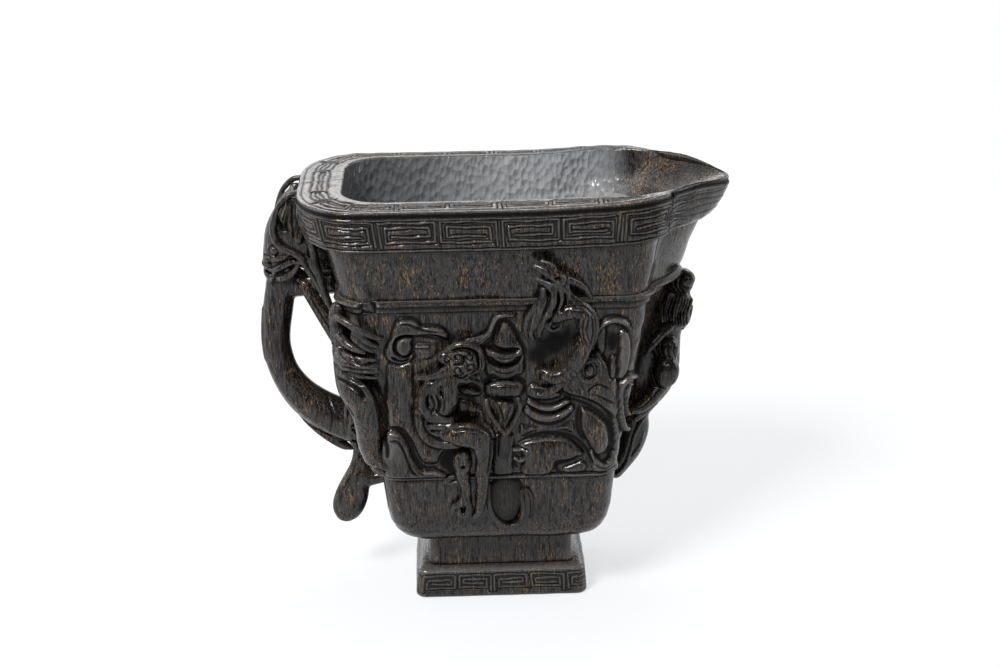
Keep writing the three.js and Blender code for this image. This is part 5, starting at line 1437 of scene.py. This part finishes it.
lip_dragon.strokes(  # spiral joint, toes and the leg below
    [(23.6, 84.2, 2.2, 0.9), (22.4, 81.2, 2.8, 0.95), (22.4, 78.2, 2.8, 0.95), (23.9, 76.1, 2.6, 0.95),
     (26.4, 75.9, 2.6, 0.9), (28.2, 77.8, 2.6, 0.9), (28.2, 80.8, 2.6, 0.85), (26.6, 82.5, 2.6, 0.8),
     (24.7, 81.7, 2.6, 0.7)],
    [(13.6, 78.8, 3.2, 1.0), (12.0, 79.0, 2.6, 0.9), (10.9, 77.6, 1.8, 0.6)],
    [(13.6, 77.2, 3.2, 1.0), (12.2, 76.4, 2.6, 0.9), (11.4, 75.0, 1.6, 0.6)],
    [(17.6, 77.2, 2.8, 2.0), (16.2, 74.6, 2.4, 1.6), (14.4, 72.6, 2.1, 1.2), (12.6, 71.6, 2.0, 0.9)],
    blend=0.3,
)
lip_dragon.egg((25.3, 79.2, 2.6), (1.5, 1.9, 1.7), 0, 0.2)
lip_dragon.grooves(
    0.4, 0.9,
    [(15.0, 107.9), (12.6, 108.9), (10.6, 110.4)],
    [(16.8, 108.9), (15.8, 109.4), (15.0, 108.9)]
)
lip_dragon.grooves(
    0.32, 0.7,
    [(13.6, 104.8), (13.2, 101.6), (11.6, 97.0)],
    [(15.9, 105.2), (16.1, 101.4), (14.6, 97.4), (13.2, 94.6)],
    [(17.8, 104.6), (17.9, 101.6), (16.8, 98.6)]
)
lip_dragon.locks([(20.6, 97.6), (24.6, 97.0)], [(22.2, 88.6), (25.4, 88.4)], 4, 0.1, 0.28, 0.5)
lip_dragon.locks([(17.0, 78.0), (20.8, 81.0)], [(18.4, 75.6), (22.0, 79.0)], 4, 0.1, 0.26, 0.4)
lip_dragon.grooves(
    0.3, 0.5, [(25.4, 97.4), (25.9, 93.2), (25.4, 88.6)],
    [(20.2, 105.6), (22.8, 103.4), (24.6, 100.8)]
)
both_sides(lip_dragon, "lip_dragon", "lip_dragon")

# Mask between the dragons.
# The forehead shield and the snout of an old bronze-vessel mask, in low relief with crescent cuts, between
# its two eyes.
crest = Clay((-6.4, 76, -1.6), (8.6, 96, 3.4), CELL)
crest.stroke(
    [(1.2, 91.4, 0.5, 1.9), (1.2, 88.0, 0.6, 3.4), (1.2, 83.6, 0.7, 4.6), (1.1, 81.0, 0.7, 4.8)],
    0.6, 0.34
)
crest.grooves(
    0.7, 1.9,
    [(-3.9, 87.0), (-1.4, 86.1), (1.2, 85.5), (4.8, 85.7)],
    [(-3.9, 83.4), (-1.6, 81.7), (1.2, 80.9), (3.8, 81.7), (5.5, 83.2)]
)
crest.grooves(
    0.28, 0.4, [(-1.2, 88.4), (-0.4, 91.2), (0.9, 93.2)], [(3.9, 88.4), (3.0, 91.0), (1.7, 93.0)],
    [(-2.6, 84.2), (0, 83.2), (2.4, 83.2), (4.6, 84.2)],
    [(-3.2, 79.6), (1.2, 78.4), (5.4, 79.6)]
)
crest.cut(spiral(1.2, 89.4, 0.9, 1.0, 0, 1, 0.98), 0.26, 0.4, smooth=False)
both_sides(crest, "mask_crest", "mask_crest", skirt=0.5)

snout = Clay((-6.6, 50, -1.6), (8.6, 77.4, 4.4), CELL)
snout.egg((1.0, 73.2, 0.6), (5.2, 2.7, 1.9), 0, 0.5)
snout.strokes([(0.9, 67.4, 0.9, 3.3), (0.8, 64.8, 0.9, 2.4), (0.6, 61.6, 0.8, 1.2)], blend=0.4, flat=0.42)
snout.strokes(
    [(-4.3, 69.8, 1.4, 0.8), (-4.0, 67.0, 1.8, 0.85), (-2.9, 64.4, 1.8, 0.85), (-1.2, 61.6, 1.7, 0.8),
     (0.7, 58.8, 1.2, 0.7)],
    [(4.9, 70.0, 1.2, 0.7), (5.4, 67.4, 1.4, 0.75), (4.4, 64.0, 1.5, 0.8), (2.8, 61.0, 1.4, 0.8),
     (1.2, 58.2, 1.1, 0.7)],
    [(-6.0, 66.0, 0.8, 0.6), (-5.4, 62.6, 1.2, 0.75), (-3.6, 60.6, 1.4, 0.8), (-2.4, 58.0, 1.0, 0.6)],
    blend=0.3,
)
snout.strokes([(0.8, 58.4, 0.5, 1.9), (0.7, 54.6, 0.4, 2.2), (0.6, 51.6, 0.2, 2.2)], blend=0.5, flat=0.5)
snout.grooves(
    0.6, 1.6,
    [(-3.0, 69.8), (-0.8, 70.2), (1.2, 70.0), (3.8, 69.4)],
    [(-4.0, 71.8), (-2.6, 70.9)]
)
snout.grooves(
    0.26, 0.4, [(-0.8, 68.4), (0.2, 64.8), (0.6, 61.0)], [(2.8, 68.2), (1.8, 65.0), (0.9, 62.0)],
    [(-1.6, 74.8), (1.2, 75.3), (3.8, 74.7)]
)
both_sides(snout, "mask_snout", "mask_nose", skirt=0.5)

# Dragon on the end wall.
# It climbs towards the pouring lip: a knobbed head under the neck, a shaggy mane, a heavy haunch, and a
# tail that follows the wall down to the bowl. Its back is the cup's outline on that side.


def upright_plane(points):
    """From a free carving's measure (along the cup, up, towards the near side) to the cup's own."""
    return np.stack([points[:, 0], -points[:, 2], points[:, 1]], -1)


end_dragon = Clay((33, 29, -10), (63, 103.5, 15.5), CELL)
end_dragon.strokes(
    [(52.4, 92.0, 1.6, 4.4), (51.8, 86.0, 1.4, 5.0), (50.6, 80.0, 1.0, 5.0), (50.2, 75.0, 1.0, 5.2),
     (49.6, 70.0, 1.4, 5.6), (47.8, 65.0, 1.8, 5.6), (44.8, 60.0, 2.0, 4.8), (42.0, 55.4, 2.0, 4.0)],
    [(48.0, 84.0, -1.0, 5.0), (46.0, 76.0, 0.0, 6.0), (43.6, 68.0, 0.0, 6.2), (41.0, 60.0, 0.0, 5.4)],
    [(41.8, 53.6, 1.0, 4.2), (41.6, 49.0, 1.0, 4.8), (40.2, 43.6, 1.0, 4.6), (38.2, 38.6, 0.6, 3.7),
     (36.4, 34.0, 0.2, 2.4)],
    blend=1.6,
)
end_dragon.egg((55.0, 96.4, 2.6), (3.8, 4.4, 4.0), -30).egg((56.7, 97.9, 4.2), (2.3, 2.4, 2.4), 0, 0.4)
end_dragon.egg((54.2, 90.6, 4.0), (4.2, 3.9, 4.8), 20).egg((54.6, 85.6, 3.4), (3.4, 3.4, 4.0), 0)
end_dragon.egg((50.4, 69.4, 7.2), (4.1, 5.4, 3.4), -10, 1.4).egg((51.4, 76.4, 6.0), (3.0, 3.8, 2.8), 0, 1.0)
end_dragon.strokes(
    [(54.6, 99.4, 3.6, 1.0), (52.0, 100.4, 5.4, 0.9), (49.6, 99.6, 7.0, 0.7)],
    [(55.6, 93.4, 6.4, 1.2), (53.2, 90.4, 8.0, 1.2), (52.0, 86.8, 8.2, 1.0)],
    [(57.4, 91.6, 5.6, 1.0), (56.0, 88.4, 7.0, 1.1), (54.6, 85.0, 7.0, 0.9)],
    [(51.4, 93.4, 6.4, 1.2), (49.6, 90.0, 8.0, 1.1), (49.4, 86.4, 8.4, 0.9)],
    [(57.6, 88.6, 3.2, 1.2), (57.0, 85.4, 4.0, 1.0), (55.4, 82.6, 4.6, 0.8)],
    [(51.0, 83.6, 6.0, 1.8), (48.0, 81.4, 8.0, 1.6), (45.6, 78.8, 9.4, 1.3), (44.2, 76.0, 9.6, 0.9)],
    blend=0.3,
)
end_dragon.strokes(
    [(48.6, 65.0, 7.4, 2.6), (45.6, 61.6, 9.0, 2.2), (42.6, 59.4, 10.2, 1.8), (40.2, 58.6, 10.8, 1.2)],
    [(46.4, 60.0, 6.4, 2.2), (43.4, 57.4, 8.2, 1.8), (41.4, 55.2, 8.8, 1.2)],
    blend=0.4,
)
end_dragon.strokes(
    [(46.0, 56.2, 4.4, 0.6), (43.6, 53.0, 6.0, 0.6), (41.4, 48.6, 6.8, 0.6), (40.2, 43.4, 6.6, 0.6),
     (38.9, 38.0, 5.2, 0.5), (36.6, 34.0, 3.2, 0.5)],
    blend=0.15
)
end_dragon.strokes([(44.2, 48.6, 4.8, 0.5), (43.2, 44.6, 5.2, 0.5), (41.0, 41.0, 5.2, 0.5)], blend=0.15)
end_dragon.locks([(50.4, 94.0), (57.6, 92.6)], [(49.6, 84.8), (56.6, 83.2)], 9, 0.10, 0.26, 0.6)
end_dragon.locks([(50.8, 99.0), (54.4, 98.6)], [(51.0, 94.8), (55.6, 94.4)], 4, 0.2, 0.3, 0.6)
end_dragon.locks([(47.4, 78.6), (52.6, 78.6)], [(48.4, 74.0), (53.4, 74.0)], 4, 0.12, 0.26, 0.4)
end_dragon.grooves(
    0.36, 0.6,
    [(46.4, 71.6), (47.4, 67.0), (50.4, 64.6), (53.2, 65.4)],
    [(45.6, 77.4), (47.4, 74.2), (47.0, 70.0)],
    [(55.0, 99.6), (54.4, 97.6), (55.4, 95.9), (57.2, 95.4)]
)
end_piece = end_dragon.piece("end_dragon_carving", upright_plane, skirt=0)
place_piece(end_piece, "end_dragon")

# Handle.
# A round bar that leaves a beast's mouth under the rim, bows out and returns to the wall over the bowl,
# with a keel outside, a faceted knot at its root, a thin branch beside it and a spoon-shaped leaf below.
loop_clay = Clay((-72, 40, -8), (-37, 104, 9.6), CELL)
loop_clay.strokes(
    [(-62.6, 101.6, 0, 4.4), (-64.3, 96.6, 0, 4.5), (-65.5, 90, 0, 4.5), (-66.4, 82, 0, 4.2),
     (-66.2, 76, 0, 4.3), (-64.3, 69.4, 0, 4.4), (-60.6, 63.4, 0, 4.9), (-55.6, 58.6, 0, 5.5),
     (-50.0, 55.0, 0, 6.0), (-44.6, 52.6, 0, 6.2), (-41.0, 51.0, 0, 5.6)],
    [(-64.0, 98.2, 0, 4.2), (-58.6, 97.8, 0, 4.0), (-53.0, 98.4, 0, 4.2), (-49.4, 99.0, 0, 4.6)],
    blend=1.4,
)
loop_clay.strokes(
    [(-68.0, 74.0, 0, 0.9), (-65.2, 64.8, 0, 1.3), (-60.4, 56.9, 0, 1.5), (-54.6, 50.2, 0, 1.6),
     (-48.4, 45.4, 0, 1.5), (-45.4, 44.0, 0, 0.8)],
    blend=1.4
)
loop_clay.strokes([(-69.6, 90.0, 0.6, 0.6), (-70.2, 82.0, 0.8, 0.6), (-69.6, 74.6, 0.8, 0.6)], blend=1.2)
loop_clay.egg((-43.2, 55.2, 6.0), (2.9, 8.2, 2.5), -6, 0.3)
loop_clay.strokes(
    [(-45.4, 63.0, 6.6, 0.7), (-42.2, 63.4, 6.6, 0.7), (-40.4, 58.8, 6.8, 0.7), (-40.2, 53.2, 6.8, 0.7),
     (-41.4, 47.2, 6.2, 0.7), (-44.0, 47.2, 6.0, 0.7), (-46.0, 52.4, 6.4, 0.7), (-46.2, 58.4, 6.6, 0.7),
     (-45.4, 63.0, 6.6, 0.7)],
    blend=0.25
)
loop_clay.grooves(
    0.4, 0.9, [(-45.2, 60.6), (-41.8, 58.6)], [(-41.6, 58.4), (-44.6, 54.0)],
    [(-44.6, 53.8), (-41.6, 50.6)], [(-44.8, 49.6), (-42.6, 48.6)]
)
loop_clay.grooves(
    0.3, 0.45,
    [(-62.6, 57.0), (-56.8, 51.8), (-50.6, 48.6)],
    [(-52.0, 62.6), (-50.4, 57.4), (-51.4, 51.2)]
)
handle = loop_clay.piece("handle_carving", upright_plane, skirt=0)
place_piece(handle, "handle_loop")

head = Clay((-71.5, 97.5, -10.6), (-43, 128, 10.6), CELL)
head.strokes(
    [(-53.6, 121.4, 0, 6.4), (-57.8, 118.8, 0, 7.0), (-60.4, 114.0, 0, 7.5), (-62.4, 109.4, 0, 6.4),
     (-64.6, 105.4, 0, 4.7)],
    [(-58.0, 112.0, 0, 7.8), (-53.6, 109.6, 0, 7.8), (-50.8, 107.0, 0, 7.0)],
    blend=2.0,
)
head.strokes([(-64.0, 104.2, 0, 4.6), (-66.0, 101.8, 0, 3.2), (-63.6, 100.8, 0, 3.8)], blend=0.6)
for side in (1, -1):
    head.egg((-65.2, 110.0, 4.8 * side), (2.1, 2.1, 2.0), 0, 0.3)
    head.egg((-67.6, 105.4, 2.6 * side), (1.8, 1.6, 1.9), 20, 0.5)
    head.strokes(
        [(-67.0, 112.2, 2.6 * side, 1.0), (-64.8, 113.2, 5.0 * side, 1.1),
         (-62.0, 112.0, 6.8 * side, 1.1), (-60.4, 110.0, 7.4 * side, 0.9)],
        [(-67.4, 108.6, 3.6 * side, 0.7), (-65.6, 107.2, 5.2 * side, 0.9),
         (-63.2, 107.6, 6.0 * side, 0.9), (-61.0, 109.2, 7.0 * side, 0.7)],
        [(-68.2, 103.4, 1.6 * side, 0.8), (-65.6, 103.4, 4.4 * side, 1.0),
         (-62.4, 105.2, 5.8 * side, 1.1), (-59.4, 106.8, 6.6 * side, 1.0), (-56.8, 106.6, 7.6 * side, 0.8)],
        [(-66.6, 100.2, 1.6 * side, 0.9), (-63.6, 100.6, 4.0 * side, 1.1),
         (-60.6, 102.6, 5.4 * side, 1.1), (-58.4, 105.4, 6.4 * side, 0.9)],
        [(-59.4, 126.4, 1.6 * side, 1.0), (-62.8, 122.6, 2.6 * side, 1.1),
         (-65.0, 118.0, 2.8 * side, 1.0), (-66.6, 114.0, 2.0 * side, 0.8)],
        blend=0.3,
    )
head.grooves(
    0.5, 1.4,
    [(-68.6, 102.6), (-65.6, 102.2), (-62.4, 103.6), (-59.8, 105.2)]
).grooves(0.9, 1.8, [(-59.8, 108.4), (-58.4, 108.8), (-57.0, 108.2)])
head.cut(spiral(-65.2, 110.0, 1.5, 1.0, 0.0, 1, 0.98), 0.28, 0.5, smooth=False)
head.grooves(0.3, 0.6, [(-67.2, 105.9), (-66.2, 105.0)], [(-68.6, 107.6), (-67.0, 108.0), (-66.0, 107.2)])
head.locks([(-62.4, 124.4), (-56.0, 123.4)], [(-64.4, 113.8), (-57.4, 112.2)], 7, 0.10, 0.3, 0.5)
beast_head = head.piece("beast_head_carving", upright_plane, skirt=0)
place_piece(beast_head, "handle_beast_head")

ear = Clay((-68, 88, 5.4), (-45.6, 130, 15.6), CELL)
ear.stroke(
    [(-58.8, 123.6, 7.8, 3.0), (-60.2, 119.4, 8.2, 3.9), (-59.8, 115.4, 8.4, 3.7),
     (-56.4, 111.6, 8.6, 2.4)],
    0.8, 0.42
)
ear.strokes(
    [(-57.8, 128.0, 8.4, 0.8), (-60.2, 127.2, 8.8, 0.9), (-62.8, 124.2, 9.2, 1.0),
     (-64.3, 120.4, 9.4, 1.05), (-64.9, 117.0, 9.4, 1.05), (-64.2, 113.8, 9.4, 1.0),
     (-62.4, 111.7, 9.6, 1.0), (-59.4, 110.4, 9.8, 1.0), (-56.8, 108.2, 10.0, 0.95),
     (-55.3, 105.0, 10.0, 0.9), (-53.6, 102.0, 9.8, 0.85), (-51.9, 98.4, 9.4, 0.8),
     (-50.6, 94.8, 8.8, 0.6)],
    [(-57.4, 127.6, 8.6, 0.8), (-56.4, 123.6, 9.0, 0.9), (-56.2, 118.6, 9.4, 0.9),
     (-57.4, 113.8, 9.6, 0.8)],
    [(-56.4, 126.4, 11.4, 0.9), (-56.6, 122.4, 12.4, 1.2), (-55.4, 118.6, 12.8, 1.25),
     (-54.0, 114.6, 12.8, 1.2), (-53.1, 110.6, 12.4, 1.15), (-53.2, 107.4, 12.0, 1.6),
     (-51.9, 104.0, 12.0, 1.3), (-50.8, 99.4, 11.6, 1.1), (-49.5, 95.0, 11.0, 1.0),
     (-47.9, 90.8, 10.0, 0.8)],
    blend=0.3,
)
ear.grooves(
    1.1, 1.1,
    [(-61.0, 124.4), (-61.8, 120.6), (-61.4, 116.6)]
).grooves(0.3, 0.5, [(-59.0, 125.4), (-59.2, 119.6), (-59.0, 114.6)])
both_sides(ear, "beast_ear", "beast_ear", upright_plane, skirt=0)

strut = Clay((-60, 66, -0.5), (-36, 102, 8.5), CELL)
strut.stroke(
    [(-57.0, 98.4, 3.0, 2.0), (-51.4, 88.4, 4.0, 2.3), (-46.6, 80.0, 4.5, 2.5), (-41.0, 71.6, 4.5, 2.8)]
)
strut.grooves(0.3, 0.4, [(-55.4, 95.4), (-50.6, 86.8), (-45.4, 78.0)])
strut_piece = strut.piece("handle_strut_carving", upright_plane, skirt=0)
place_piece(strut_piece, "handle_strut")

leaf = Clay((-54, 17, -6), (-33, 50, 6), CELL)
leaf.strokes(
    [(-41.6, 46.4, 0, 3.6), (-42.0, 42.0, 0, 3.0), (-43.0, 37.4, 0, 3.2), (-44.4, 32.4, 0, 4.3),
     (-45.8, 28.0, 0, 5.1), (-47.0, 24.6, 0, 4.9), (-47.7, 22.6, 0, 3.7)],
    blend=0.8, flat=0.6,
)
leaf.strokes([(-43.4, 34.6, 0, 2.2), (-39.4, 33.6, 0, 2.2), (-35.6, 34.4, 0, 2.2)], blend=1.6)
leaf.strokes(
    [(-42.6, 41.0, 1.4, 0.6), (-45.8, 34.4, 1.6, 0.6), (-49.0, 28.4, 1.2, 0.6), (-49.8, 23.6, 0.6, 0.5)],
    blend=1.0
)
leaf_piece = leaf.piece("handle_leaf_carving", upright_plane, skirt=0)
place_piece(leaf_piece, "handle_leaf")
